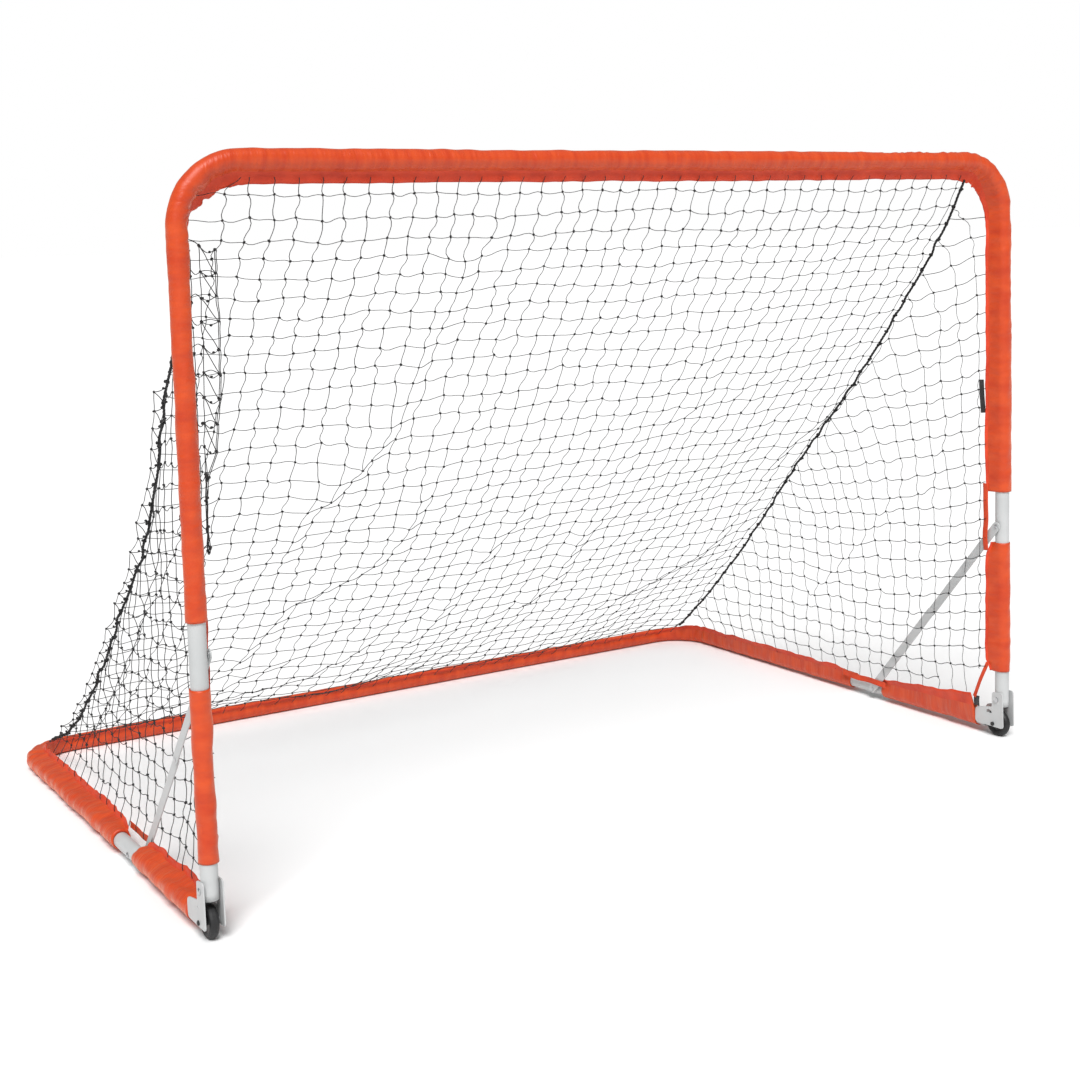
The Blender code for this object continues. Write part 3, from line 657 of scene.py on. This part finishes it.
for which, side in SIDES.items():
    # Going back on the left and forward on the right keeps the flap on the inner side.
    path = base_side(side, *FRONT_CLOTH)[::-side]

    def front_place(s, side=side):
        """0 at the front end and 1 at the rear end, whichever way the path runs."""
        return s / s[-1] if side < 0 else 1 - s / s[-1]

    def front_radius(s, phi, side=side):
        t = front_place(s)
        rise = (0.006 + 0.006 * (1 - t)) if side < 0 else (0.005 + 0.019 * (1 - t))
        swell = 0.0026 * np.exp(-((t - 0.25) / 0.3) ** 2) + 0.0016 * np.exp(-((t - 0.8) / 0.15) ** 2)
        r = drawn_off(phi, np.radians(36), (0.0185 + rise)[:, None], 0.0170)
        return r + swell[:, None] * np.clip(0.4 + np.cos(phi + 0.3), 0, 1)

    def front_ripple(s, phi, total, side=side):
        end = np.exp(-np.minimum(s, total - s) / 0.03)
        return (0.0032 * around_noise(s / 0.021 + 1.6 * np.sin(phi), phi, 0.7, 171 + 9 * side)
                + 0.0022 * around_noise(s / 0.055 + 2.5 * np.sin(phi), phi, 0.8, 191 + 9 * side)
                + 0.0010 * end * around_noise(s / 0.011, phi, 1.4, 173 + 9 * side)) * (
                    1 - 0.7 * np.clip(-np.cos(phi), 0, 1))

    def front_flap(s, total, side=side):
        t = front_place(s)
        length = (0.009 + 0.004 * (1 - t)) if side < 0 else (0.010 + 0.018 * (1 - t))
        length = length + 0.0012 * value_noise(s / 0.03, 1.5, 181 + side)
        length = length * (0.5 + 0.5 * step(0.0, 0.02, 1 - t))
        wave = 0.0018 * value_noise(s / 0.03, 2.5, 183 + side)
        return np.radians(np.full(s.shape, 36.0)), np.radians(24 - 14 * (1 - t)), length, wave

    sleeve(f"front_base_cover_{which}", path, (0, 0, 1), front_radius, front_ripple, front_flap,
           lambda s: 0.0028, "base_frame", f"front_base_sleeve_{which}")

# ---------------------------------------------------------------- ropes and net

# The corner ropes' routes, as in the CAD: distance from the middle, distance behind the posts, height.
ROPE_ROUTES = {
    "right": [
        (0.790, 0.004, 1.196), (0.793, 0.060, 1.108), (0.797, 0.137, 1.006),
        (0.804, 0.265, 0.857), (0.812, 0.412, 0.704), (0.821, 0.572, 0.548),
        (0.829, 0.715, 0.398), (0.836, 0.854, 0.258), (0.843, 0.985, 0.140),
        (0.849, 1.100, 0.048),
    ],
    "left": [
        (0.877, 0.016, 1.130), (0.868, 0.058, 1.092), (0.853, 0.130, 1.022),
        (0.839, 0.205, 0.945), (0.832, 0.277, 0.855), (0.829, 0.340, 0.745),
        (0.829, 0.400, 0.635), (0.829, 0.485, 0.530), (0.830, 0.590, 0.430),
        (0.832, 0.712, 0.310), (0.836, 0.845, 0.190), (0.843, 0.985, 0.092),
        (0.849, 1.096, 0.048),
    ],
}


def smooth_route(knots, steps=14):
    knots = [np.array(k, float) for k in knots]
    knots = [2 * knots[0] - knots[1], *knots, 2 * knots[-1] - knots[-2]]
    points = []
    for a, b, c, d in zip(knots, knots[1:], knots[2:], knots[3:]):
        for i in range(steps):
            t = i / steps
            points.append(0.5 * (2 * b + (c - a) * t + (2 * a - 5 * b + 4 * c - d) * t ** 2
                                 + (3 * b - a - 3 * c + d) * t ** 3))
    points.append(knots[-2])
    return np.array(points)


# The net's left edge runs on from its rope up to the crossbar.
NET_EDGES = {"right": ROPE_ROUTES["right"], "left": [(0.872, 0.004, 1.196), *ROPE_ROUTES["left"]]}
ROUTES = {which: smooth_route(knots) for which, knots in NET_EDGES.items()}


def rope_at(which, z):
    """(x from the middle, behind, z) on the rope at a height; runs on past both ends."""
    route = ROUTES[which][::-1]
    z = np.asarray(z, float)
    x, behind = np.interp(z, route[:, 2], route[:, 0]), np.interp(z, route[:, 2], route[:, 1])
    over, under = np.maximum(z - route[-1, 2], 0), np.maximum(route[0, 2] - z, 0)
    return x, np.maximum(behind - 0.6 * over, -0.002) + 0.9 * under


def rope_height(which, behind):
    route = ROUTES[which]
    return np.interp(behind, route[:, 1], route[:, 2])


# The back panel's own coordinates: x, the run s down the slope, and h, how far it stands off it.
profile_z = np.linspace(1.225, 0.030, 240)
profile_y = (rope_at("left", profile_z)[1] + rope_at("right", profile_z)[1]) / 2
profile_s = np.concatenate([[0], np.cumsum(np.hypot(np.diff(profile_z), np.diff(profile_y)))])
profile_s -= np.interp(-1.196, -profile_z, profile_s)
slope_y, slope_z = np.gradient(profile_y, profile_s), np.gradient(profile_z, profile_s)


def on_back(x, s, h):
    x, s, h = np.broadcast_arrays(x, s, h)
    z = np.interp(s, profile_s, profile_z)
    lx, ly = rope_at("left", z)
    rx, ry = rope_at("right", z)
    u = (x + lx) / (lx + rx)
    y = ly + (ry - ly) * u
    ny, nz = -np.interp(s, profile_s, slope_z), np.interp(s, profile_s, slope_y)
    sag = h - 0.022 * np.clip(4 * u * (1 - u), 0, 1) * np.sin(np.pi * np.clip(s / 1.62, 0, 1))
    return np.stack([x, POST_Y + y + ny * sag, z + nz * sag], -1)


# Folds where the slack net hangs in a ridge and draws its mesh together: (x, s) down each, width, pull.
BACK_FOLDS = [
    ([(-0.35, 0.17), (-0.36, 0.32), (-0.37, 0.48), (-0.41, 0.57), (-0.49, 0.70)], 0.050, 0.42),
    ([(-0.37, 0.55), (-0.45, 0.64), (-0.51, 0.73), (-0.54, 0.90)], 0.050, 0.40),
    ([(0.25, 0.94), (0.22, 0.99), (0.22, 1.14), (0.19, 1.23)], 0.045, 0.42),
    ([(-0.26, 0.75), (-0.30, 0.93), (-0.36, 1.00), (-0.47, 1.07), (-0.55, 1.30)], 0.055, 0.45),
    ([(-0.24, 1.30), (-0.33, 1.40), (-0.52, 1.46)], 0.050, 0.45),
    ([(-0.40, 1.28), (-0.53, 1.39), (-0.66, 1.44)], 0.045, 0.45),
    ([(0.76, 0.67), (0.71, 0.80), (0.71, 0.98), (0.67, 1.12), (0.57, 1.23), (0.48, 1.28)], 0.050, 0.45),
    ([(0.26, 0.36), (0.35, 0.57)], 0.040, 0.25),
    ([(-0.76, 0.60), (-0.74, 0.85), (-0.70, 1.10), (-0.66, 1.40)], 0.050, 0.35),
    ([(0.02, 0.80), (-0.04, 1.05), (-0.10, 1.30)], 0.040, 0.25),
]
SIDE_FOLDS = {
    "right": [([(0.27, 0.49), (0.33, 0.44), (0.36, 0.40), (0.44, 0.32), (0.56, 0.22)], 0.040, 0.45),
              ([(0.10, 0.95), (0.13, 0.80), (0.12, 0.66), (0.16, 0.55)], 0.030, 0.35)],
    "left": [([(0.03, 1.15), (0.03, 0.8), (0.06, 0.6), (0.12, 0.45), (0.16, 0.3), (0.20, 0.15)], 0.060, 0.55),
             ([(0.30, 0.62), (0.42, 0.45), (0.60, 0.28), (0.80, 0.14)], 0.035, 0.40)],
}


def fold_in(p, q, folds):
    """Moves points of a panel towards its folds; gives them back with the ridge's height."""
    ridge = np.zeros_like(p)
    for line, width, pull in folds:
        line = np.array(line)
        best = np.full(p.shape, 9.0)
        dp, dq = np.zeros_like(p), np.zeros_like(p)
        for (x0, y0), (x1, y1) in zip(line, line[1:]):
            square = (x1 - x0) ** 2 + (y1 - y0) ** 2
            t = np.clip(((p - x0) * (x1 - x0) + (q - y0) * (y1 - y0)) / square, 0, 1)
            vx, vy = x0 + t * (x1 - x0) - p, y0 + t * (y1 - y0) - q
            d = np.hypot(vx, vy)
            near = d < best
            best = np.where(near, d, best)
            dp, dq = np.where(near, vx, dp), np.where(near, vy, dq)
        k = pull * np.exp(-(best / width) ** 2)
        p, q = p + dp * k, q + dq * k
        ridge = ridge + 0.012 * np.exp(-(best / (0.45 * width)) ** 2)
    return p, q, ridge


CORD_R = 0.00075
KNOT = np.array([(0, 0, 1), (0.894, 0, 0.447), (0.276, 0.851, 0.447), (-0.724, 0.526, 0.447),
                 (-0.724, -0.526, 0.447), (0.276, -0.851, 0.447), (0.724, 0.526, -0.447),
                 (-0.276, 0.851, -0.447), (-0.894, 0, -0.447), (-0.276, -0.851, -0.447),
                 (0.724, -0.526, -0.447), (0, 0, -1)])
KNOT_FACES = [(0, 1, 2), (0, 2, 3), (0, 3, 4), (0, 4, 5), (0, 5, 1), (1, 6, 2), (2, 7, 3), (3, 8, 4),
              (4, 9, 5), (5, 10, 1), (6, 7, 2), (7, 8, 3), (8, 9, 4), (9, 10, 5), (10, 6, 1),
              (11, 7, 6), (11, 8, 7), (11, 9, 8), (11, 10, 9), (11, 6, 10)]


def add_knot(pile, place, rng, size=1.0):
    scale = size * np.array([0.0030, 0.0024, 0.0024]) * (0.85 + 0.35 * rng.rand(3))
    turn = Matrix.Rotation(rng.rand() * 6.28, 3, Vector(rng.rand(3) - 0.5).normalized())
    pile.add((KNOT * scale) @ np.array(turn).T + place, KNOT_FACES)


def slack_path(p, q, h, bow, swing, rng, sub=5):
    """Runs a cord through knots, bowed and S-shaped between them; bow and swing lie in (p, q)."""
    ps, qs, hs = [], [], []
    for i in range(len(p) - 1):
        t = np.arange(sub) / sub
        a, c = np.sin(np.pi * t), np.sin(2 * np.pi * t)
        length = math.hypot(p[i + 1] - p[i], q[i + 1] - q[i])
        full = min(length / 0.045, 1.4)
        b1 = full * (bow[2] + bow[3] * (rng.rand() - 0.5))
        b2 = full * (swing[2] + swing[3] * (rng.rand() - 0.5))
        ps.append(p[i] + (p[i + 1] - p[i]) * t + a * b1 * bow[0] + c * b2 * swing[0])
        qs.append(q[i] + (q[i + 1] - q[i]) * t + a * b1 * bow[1] + c * b2 * swing[1])
        hs.append(h[i] + (h[i + 1] - h[i]) * t + a * 0.005 * (rng.rand() - 0.5))
    ps.append(p[-1:]), qs.append(q[-1:]), hs.append(h[-1:])
    return np.concatenate(ps), np.concatenate(qs), np.concatenate(hs)


def inside_bend(x, z):
    """Brings points at the top left in to the flap's edge inside the frame's bend."""
    centre_x, centre_z, reach = -(POST_X - CORNER_R), CROSSBAR_Z - CORNER_R, CORNER_R - 0.036
    limit = centre_x - np.sqrt(np.maximum(reach ** 2 - np.maximum(z - centre_z, 0) ** 2, 0))
    return np.maximum(x, limit)


def build_back_net():
    rng = np.random.RandomState(5)
    pile = Pile()
    shares = np.linspace(0.0318, 0.990, 39)
    runs = [-0.012, 0.017]
    while runs[-1] < 1.60:
        run = runs[-1]
        runs.append(run + 0.0405 + 0.0050 * math.exp(-((run - 0.38) / 0.16) ** 2) + 0.0020 * (run > 0.5))
    runs = np.array([*runs[:-1], 1.634])
    z = np.interp(runs, profile_s, profile_z)
    lx, rx = rope_at("left", z)[0], rope_at("right", z)[0]
    p = -lx[:, None] + shares[None] * (lx + rx)[:, None]
    q = np.repeat(runs[:, None], len(shares), 1)
    flow = 0.006 * value_noise(p / 0.16, q / 0.16, 201), 0.006 * value_noise(p / 0.17 + 9, q / 0.15, 203)
    edge = np.minimum(1, np.minimum(q + 0.02, 1.65 - q) / 0.08)
    p = p + (flow[0] + 0.0034 * (rng.rand(*p.shape) - 0.5) * 2) * edge
    q = q + (flow[1] + 0.0040 * (rng.rand(*p.shape) - 0.5) * 2) * edge
    loose = np.exp(-((p + lx[:, None]) / 0.03) ** 2)
    q = q + loose * 0.012 * (rng.rand(*p.shape) - 0.3) * edge
    p, q, ridge = fold_in(p, q, BACK_FOLDS)
    h = 0.010 * value_noise(p / 0.22, q / 0.22, 205) + 0.005 * (rng.rand(*p.shape) - 0.5) - ridge
    h = (h + loose * 0.02 * (rng.rand(*p.shape) - 0.5)) * edge
    inner = (p > -lx[:, None]) & (p < rx[:, None])
    p = np.where(inner, p, np.clip(p, -lx[:, None] + 0.002, rx[:, None] - 0.002))
    rows, columns = p.shape
    p = inside_bend(p, z[:, None])
    normal = (0, 0.7, 0.7)
    for c in range(columns):
        a, b, e = slack_path(p[:, c], q[:, c], h[:, c], (1, 0, 0.0, 0.0065), (1, 0, 0.0020, 0.0036), rng)
        pile.tube(on_back(a, b, e), CORD_R, 4, normal, ends=False)
    for j in range(1, rows - 1):
        lp, rp = -lx[j], rx[j]
        a = np.concatenate([[lp], p[j], [rp]])
        b = np.concatenate([[q[j, 0]], q[j], [q[j, -1]]])
        e = np.concatenate([[0], h[j], [0]])
        a, b, e = slack_path(a, b, e, (0, 1, 0.0024, 0.0040), (0, 1, 0.0010, 0.0040), rng)
        pile.tube(on_back(a, b, e), CORD_R, 4, normal, ends=False)
    for j in range(1, rows - 1):
        for c in range(columns):
            add_knot(pile, on_back(p[j, c], q[j, c], h[j, c]), rng)
    return pile.build("back_netting", TWINE)


FLAP_EDGE = 0.027  # how far behind the post the flap's edge lies
FLAP_X = 0.8715


def base_flap_top(which, d):
    """Height of the base sleeves' flap edge at a distance behind the post."""
    reach = np.clip((FRONT_CLOTH[1] - d) / (FRONT_CLOTH[1] - 0.062), 0, 1)
    rise = 0.025 + 0.014 * reach if which == "left" else 0.027 + 0.042 * reach
    return base_z(d) + np.where(d < FRONT_CLOTH[1], rise, 0.031)


def side_x(which, d, z):
    """How far from the middle the side panel hangs: from the flaps' edges, drawn to the rope."""
    rope_x, rope_d = rope_at(which, z)
    share = np.clip((d - FLAP_EDGE) / np.maximum(rope_d - FLAP_EDGE, 0.002), 0, 1)
    near = np.exp(-np.maximum(rope_d - d, 0) / 0.16) * share ** 0.6
    free = 0.8675 + (FLAP_X - 0.8675) * np.exp(-np.maximum(d - FLAP_EDGE, 0) / 0.05)
    free = free + (rope_x - free) * near
    low = np.exp(-np.maximum(z - base_flap_top(which, d), 0) / 0.035)
    return free + (0.8800 - free) * low


def on_side(which, d, z, h):
    d, z, h = np.broadcast_arrays(d, z, h)
    x = side_x(which, d, z) - h
    return np.stack([SIDES[which] * x, POST_Y + d, z], -1)


def build_side_net(which):
    rng = np.random.RandomState(31 if which == "left" else 37)
    pile = Pile()
    start, pitch_d, pitch_z = 0.040, 0.0430, 0.0402
    top = ROUTES[which][0][2] - 0.01
    bottom = 0.050
    depths = start + pitch_d * np.arange(26)
    heights = bottom + pitch_z * np.arange(29)
    heights = heights[heights < top + 0.03]
    shift = {}
    for i, d in enumerate(depths):
        for j, z in enumerate(heights):
            z = z - 0.28 * (z - bottom) * min(d - start, 0.5) if z < top else z
            rope_d = float(rope_at(which, z)[1])
            if d < rope_d - 0.010 and z > base_flap_top(which, d) + 0.006:
                flow_d = 0.006 * float(value_noise(d / 0.13, z / 0.13, 211 + SIDES[which]))
                flow_z = 0.006 * float(value_noise(d / 0.13 + 5, z / 0.13, 215 + SIDES[which]))
                soft = min(1.0, (d - FLAP_EDGE) / 0.06) * min(1.0, (z - 0.04) / 0.05)
                lean = 0.09 * min(max((z - 0.42) / 0.4, 0), 1) * min(max((d - 0.10) / 0.25, 0), 1)
                a = min(d + lean, rope_d - 0.008) + (flow_d + 0.005 * (rng.rand() - 0.5)) * soft
                b = z + (flow_z + 0.007 * (rng.rand() - 0.5)) * soft
                b += (0.024 if which == "right" else 0.0) * math.exp(-(d - FLAP_EDGE) / 0.12)
                shift[i, j] = (a, b)
    keys = list(shift)
    a, b = np.array([shift[k][0] for k in keys]), np.array([shift[k][1] for k in keys])
    a, b, ridge = fold_in(a, b, SIDE_FOLDS[which])
    h = 0.006 * value_noise(a / 0.2, b / 0.2, 219) + 0.004 * (rng.rand(len(a)) - 0.5) + ridge
    h = np.clip(h, -0.004, 0.03) * np.clip((a - FLAP_EDGE) / 0.04, 0, 1)
    place = {k: (a[n], b[n], h[n]) for n, k in enumerate(keys)}
    normal = (1, 0, 0)
    for j in range(len(heights)):
        line = [place[i, j] for i in range(len(depths)) if (i, j) in place]
        if not line:
            continue
        rope_d = float(rope_at(which, line[-1][1])[1])
        first = []
        if line[0][0] < FLAP_EDGE + 0.05:
            first = [(FLAP_EDGE - 0.004, line[0][1] + 0.003, 0.0)]
        line = [*first, *line, (rope_d, line[-1][1] + 0.002, 0.0)]
        p, q, e = (np.array(v) for v in zip(*line))
        p, q, e = slack_path(p, q, e, (0, 1, -0.0028, 0.0045), (0, 1, 0.0012, 0.004), rng)
        p = np.minimum(p, rope_at(which, q)[1])
        pile.tube(on_side(which, p, q, e), CORD_R, 4, normal, ends=False)
    for i, d in enumerate(depths):
        line = [place[i, j] for j in range(len(heights)) if (i, j) in place]
        if not line:
            continue
        low = float(base_flap_top(which, np.array(line[0][0]))) - 0.010
        if line[0][0] < 0.056:
            low = line[0][1] - 0.006
        rope_z = float(rope_height(which, line[-1][0]))
        line = [(line[0][0], low, 0.0), *line, (line[-1][0], max(rope_z, line[-1][1] + 0.004), 0.0)]
        p, q, e = (np.array(v) for v in zip(*line))
        p, q, e = slack_path(p, q, e, (1, 0, 0.0, 0.0065), (1, 0, 0.0018, 0.004), rng)
        p = np.minimum(p, rope_at(which, q)[1])
        pile.tube(on_side(which, p, q, e), CORD_R, 4, normal, ends=False)
    for key, (p, q, e) in place.items():
        add_knot(pile, on_side(which, p, q, e), rng)
    if which == "left":
        gather_left(pile, rng)
        outer_meshes(pile, rng)
    return pile.build(f"side_netting_{which}", TWINE)


def slack_cord(pile, start, end, drop, rng):
    """A short cord between two points of the slack net, sagging by up to drop."""
    t = np.linspace(0, 1, 7)[:, None]
    line = start + (end - start) * t
    line[:, 2] -= drop * (0.4 + 0.6 * rng.rand()) * np.sin(np.pi * t[:, 0])
    line[:, 0] += 0.0022 * (rng.rand() - 0.5) * np.sin(2 * np.pi * t[:, 0])
    pile.tube(line, CORD_R, 4, (1, 0, 0.3), ends=False)


def gather_left(pile, rng):
    """The slack edge of the left panel, drawn together beside the post mesh by mesh."""
    levels = np.arange(1.105, 0.60, -0.0402)
    closed = 1 - step(0.72, 0.80, levels)
    outer_x = 0.853 + 0.006 * step(0.95, 0.75, levels) + 0.003 * (rng.rand(len(levels)) - 0.5)
    inner_x = 0.8215 + 0.010 * step(0.92, 0.80, levels)
    inner_x = inner_x + (0.8555 - inner_x) * closed + 0.003 * (rng.rand(len(levels)) - 0.5)
    near = np.stack([-outer_x, np.full(len(levels), POST_Y + 0.030), levels], 1)
    far = np.stack([-inner_x, np.full(len(levels), POST_Y + 0.045), levels - 0.005], 1)
    for strand in (near, far):
        strand[:, 2] += 0.010 * (rng.rand(len(levels)) - 0.5)
    for m in range(len(levels)):
        flap = np.array([-FLAP_X, POST_Y + FLAP_EDGE, levels[m] + 0.012 * (rng.rand() - 0.3)])
        slack_cord(pile, near[m], flap, 0.010 if m % 2 else -0.008, rng)
        slack_cord(pile, near[m], far[m], 0.012, rng)
        if m % 2:
            slack_cord(pile, far[m], near[m], -0.006, rng)
        for place in (near[m], far[m]):
            add_knot(pile, place, rng, 1.1)
            if closed[m] > 0.5 or rng.rand() > 0.5:
                add_knot(pile, place + 0.005 * (rng.rand(3) - 0.5), rng, 1.1)
        add_knot(pile, near[m] + (far[m] - near[m]) * (0.3 + 0.4 * rng.rand()) - (0, 0, 0.006), rng)
        if m + 1 < len(levels):
            slack_cord(pile, near[m], near[m + 1], 0.0, rng)
            slack_cord(pile, far[m], far[m + 1], 0.0, rng)
            slack_cord(pile, far[m] + (0.003, 0, 0), far[m + 1] + (0.002, 0, 0), 0.0, rng)
            if rng.rand() > 0.4:
                slack_cord(pile, near[m], far[m + 1], 0.0, rng)


def outer_meshes(pile, rng):
    """Meshes of the slack left panel that hang outside its corner rope."""
    route = smooth_route(ROPE_ROUTES["left"])
    s, centre = spaced(route, lambda s: 0.041)
    centre = centre[9:-1] * (-1, 1, 1) + (0, POST_Y, 0)
    reach = 0.016 + 0.012 * rng.rand(len(centre))
    away = np.array([-0.62, 0.72, 0.20])
    outside = centre + reach[:, None] * away + 0.006 * (rng.rand(len(centre), 3) - 0.5)
    outside[:, 2] -= 0.012
    for m in range(len(centre)):
        slack_cord(pile, centre[m], outside[m], 0.004, rng)
        add_knot(pile, outside[m], rng, 1.05)
        add_knot(pile, centre[m] + 0.3 * (outside[m] - centre[m]), rng)
        if m + 1 < len(centre):
            slack_cord(pile, outside[m], outside[m + 1], 0.004, rng)
            slack_cord(pile, outside[m], centre[m + 1], -0.004, rng)


def build_rope(which):
    """Three strands laid together, with the net's lashings round them."""
    pile = Pile()
    rng = np.random.RandomState(61)
    route = smooth_route(ROPE_ROUTES[which])
    route[:, 0] *= SIDES[which]
    route[:, 1] += POST_Y
    s, centre = spaced(route, lambda s: 0.0024)
    fade = np.minimum(1, np.minimum(s, s[-1] - s) / 0.08)[:, None]
    coarse, size = (0.0042, 0.040) if which == "left" else (0.0024, 0.030)
    for wobble, cell, seed in ((0.0011, 0.02, 301), (coarse, size, 311)):
        centre = centre + fade * wobble * np.stack(
            [value_noise(s / cell, 1.5 + k, seed + k) for k in range(3)], 1)
    _, a, b = frames(centre, (SIDES[which], 0, 0))
    for k in range(3):
        turn = s / 0.0042 + k * 2 * np.pi / 3
        path = centre + 0.0013 * (np.cos(turn)[:, None] * a + np.sin(turn)[:, None] * b)
        pile.tube(path, 0.00145, 6, (SIDES[which], 0, 0))
    at = 0.02
    while at < s[-1] - 0.01:
        i = int(np.searchsorted(s, at))
        turn = np.linspace(0, 2 * np.pi * 1.6, 13)
        along = (centre[min(i + 1, len(s) - 1)] - centre[i - 1])
        along = along / np.linalg.norm(along)
        loop = centre[i] + 0.0031 * (np.cos(turn)[:, None] * a[i] + np.sin(turn)[:, None] * b[i]) \
            + along[None] * (turn[:, None] * 0.0004)
        pile.tube(loop, 0.0009, 4, along)
        add_knot(pile, centre[i] + 0.0038 * a[i] * (1 if rng.rand() > 0.5 else -1), rng, 1.3)
        at += 0.043 + 0.008 * (rng.rand() - 0.5)
    return pile.build(f"corner_rope_{which}_laid", ROPE)


def folds_flat(obj):
    """Bakes the piece's placement into its mesh and reads its points."""
    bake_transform(obj)
    n = len(obj.data.vertices)
    co = np.zeros(n * 3)
    obj.data.vertices.foreach_get("co", co)
    co = co.reshape(-1, 3)


back = build_back_net()
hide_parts("back_net")
folds_flat(back)
for which in SIDES:
    net = build_side_net(which)
    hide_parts(f"side_net_{which}")
    folds_flat(net)
    rope = build_rope(which)
    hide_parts(f"corner_rope_{which}")
    folds_flat(rope)

# ---------------------------------------------------------------- straps and closures


def ribbon(name, path, across, width, thickness, material, body, node, stitch=None, curl=0.0):
    """A strap along the path, lying across a direction, with turned edges and rows of stitches."""
    s, centre = spaced(path, lambda s: 0.003)
    along = np.gradient(centre, axis=0)
    along /= np.linalg.norm(along, axis=1)[:, None]
    wide = np.broadcast_to(np.asarray(across, float), centre.shape)
    wide = wide - (wide * along).sum(1)[:, None] * along
    wide /= np.linalg.norm(wide, axis=1)[:, None]
    up = np.cross(along, wide)
    w = np.linspace(-0.5, 0.5, 9)
    crown = curl * (1 - (2 * w) ** 2)
    pile = Pile()
    rings = []
    for half, order in ((1, w), (-1, w[::-1])):
        lift = (crown if half > 0 else crown[::-1]) + half * thickness / 2
        rings.append(centre[:, None] + width * order[None, :, None] * wide[:, None]
                     + lift[None, :, None] * up[:, None])
    ring = np.concatenate(rings, 1)
    n, m = ring.shape[:2]
    faces = [(i * m + k, i * m + (k + 1) % m, (i + 1) * m + (k + 1) % m, (i + 1) * m + k)
             for i in range(n - 1) for k in range(m)]
    faces += [tuple(range(m))[::-1], tuple((n - 1) * m + k for k in range(m))]
    pile.add(ring.reshape(-1, 3), faces)
    obj = pile.build(name, material)
    if node:
        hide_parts(node)
    if body:
        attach(obj, body)
    if stitch:
        rows = Pile()
        for share in (-0.36, 0.36):
            for i in range(2, n - 3, 2):
                lift = thickness / 2 + 0.0001
                for sign in (1, -1):
                    p = centre[i:i + 2] + width * share * wide[i:i + 2] + sign * lift * up[i:i + 2]
                    p = np.stack([p[0], p[0] * 0.3 + p[1] * 0.7])
                    rows.tube(p, 0.00028, 4, up[i])
        line = rows.build(f"{name}_stitches", THREAD)
        if body:
            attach(line, body)
        else:
            folds_flat(line)
    if not body:
        folds_flat(obj)


for which, side in SIDES.items():
    x = side * (POST_X - 0.0239)
    zs = np.linspace(0.400, 0.545, 12) + (0.009 if side > 0 else -0.006)
    path = [(x - side * 0.0010 * math.sin(90 * z), POST_Y + 0.0245 + 0.0012 * math.sin(60 * z), z)
            for z in zs]
    ribbon(f"post_strap_{which}", path, (0, 1, 0), 0.0130, 0.0009, WEBBING, "front_frame",
           f"post_gap_strap_{which}", stitch=True, curl=0.0006)
    ds = np.linspace(0.335, 0.480, 12)
    path = [(x - side * 0.0010 * math.sin(90 * d), POST_Y + d, 0.0445 + 0.0010 * math.sin(70 * d))
            for d in ds]
    ribbon(f"base_strap_{which}", path, (0, 0, 1), 0.0130, 0.0009, WEBBING, "base_frame",
           f"base_gap_strap_{which}", stitch=True, curl=0.0006)
    path = [(x, POST_Y + 0.019, 0.163), (x - side * 0.002, POST_Y + 0.038, 0.122), (x, POST_Y + 0.057, 0.080)]
    ribbon(f"corner_binding_{which}", path, (0, 1, 0.9), 0.0085, 0.0009, WEBBING, None,
           f"corner_strap_{which}", stitch=True, curl=0.0004)
    x = side * (POST_X - 0.0189)
    y = POST_Y + 0.0545
    path = [(x, y, 0.060), (x - side * 0.001, y, 0.071), (x, y, 0.082)]
    ribbon(f"base_hook_tape_{which}", path, (0, 1, 0), 0.015, 0.0012, HOOKS, "base_frame",
           f"base_closure_{which}")
x = POST_X - 0.0155
path = [(x, POST_Y + d, z) for d, z in ((0.0390, 0.704), (0.0425, 0.74), (0.0445, 0.775))]
ribbon("post_hook_tape", path, (0, 1, 0), 0.013, 0.0012, HOOKS, "front_frame",
       "post_closure_right")

# ---------------------------------------------------------------- materials of the metal and wheels

LOOKS = {"white_paint": PAINT, "zinc": ZINC, "black_oxide": OXIDE, "orange_webbing": WEBBING,
         "orange_cloth": CLOTH, "hook_and_loop": HOOKS, "tyre_rubber": TYRE, "black_plastic": PLASTIC,
         "net_twine": TWINE, "braided_rope": ROPE}
for entry in frame["record"]["subparts"]:
    node = NODES[entry["node"]]
    for slot in node.material_slots:
        slot.material = LOOKS[entry["material_slot"]]
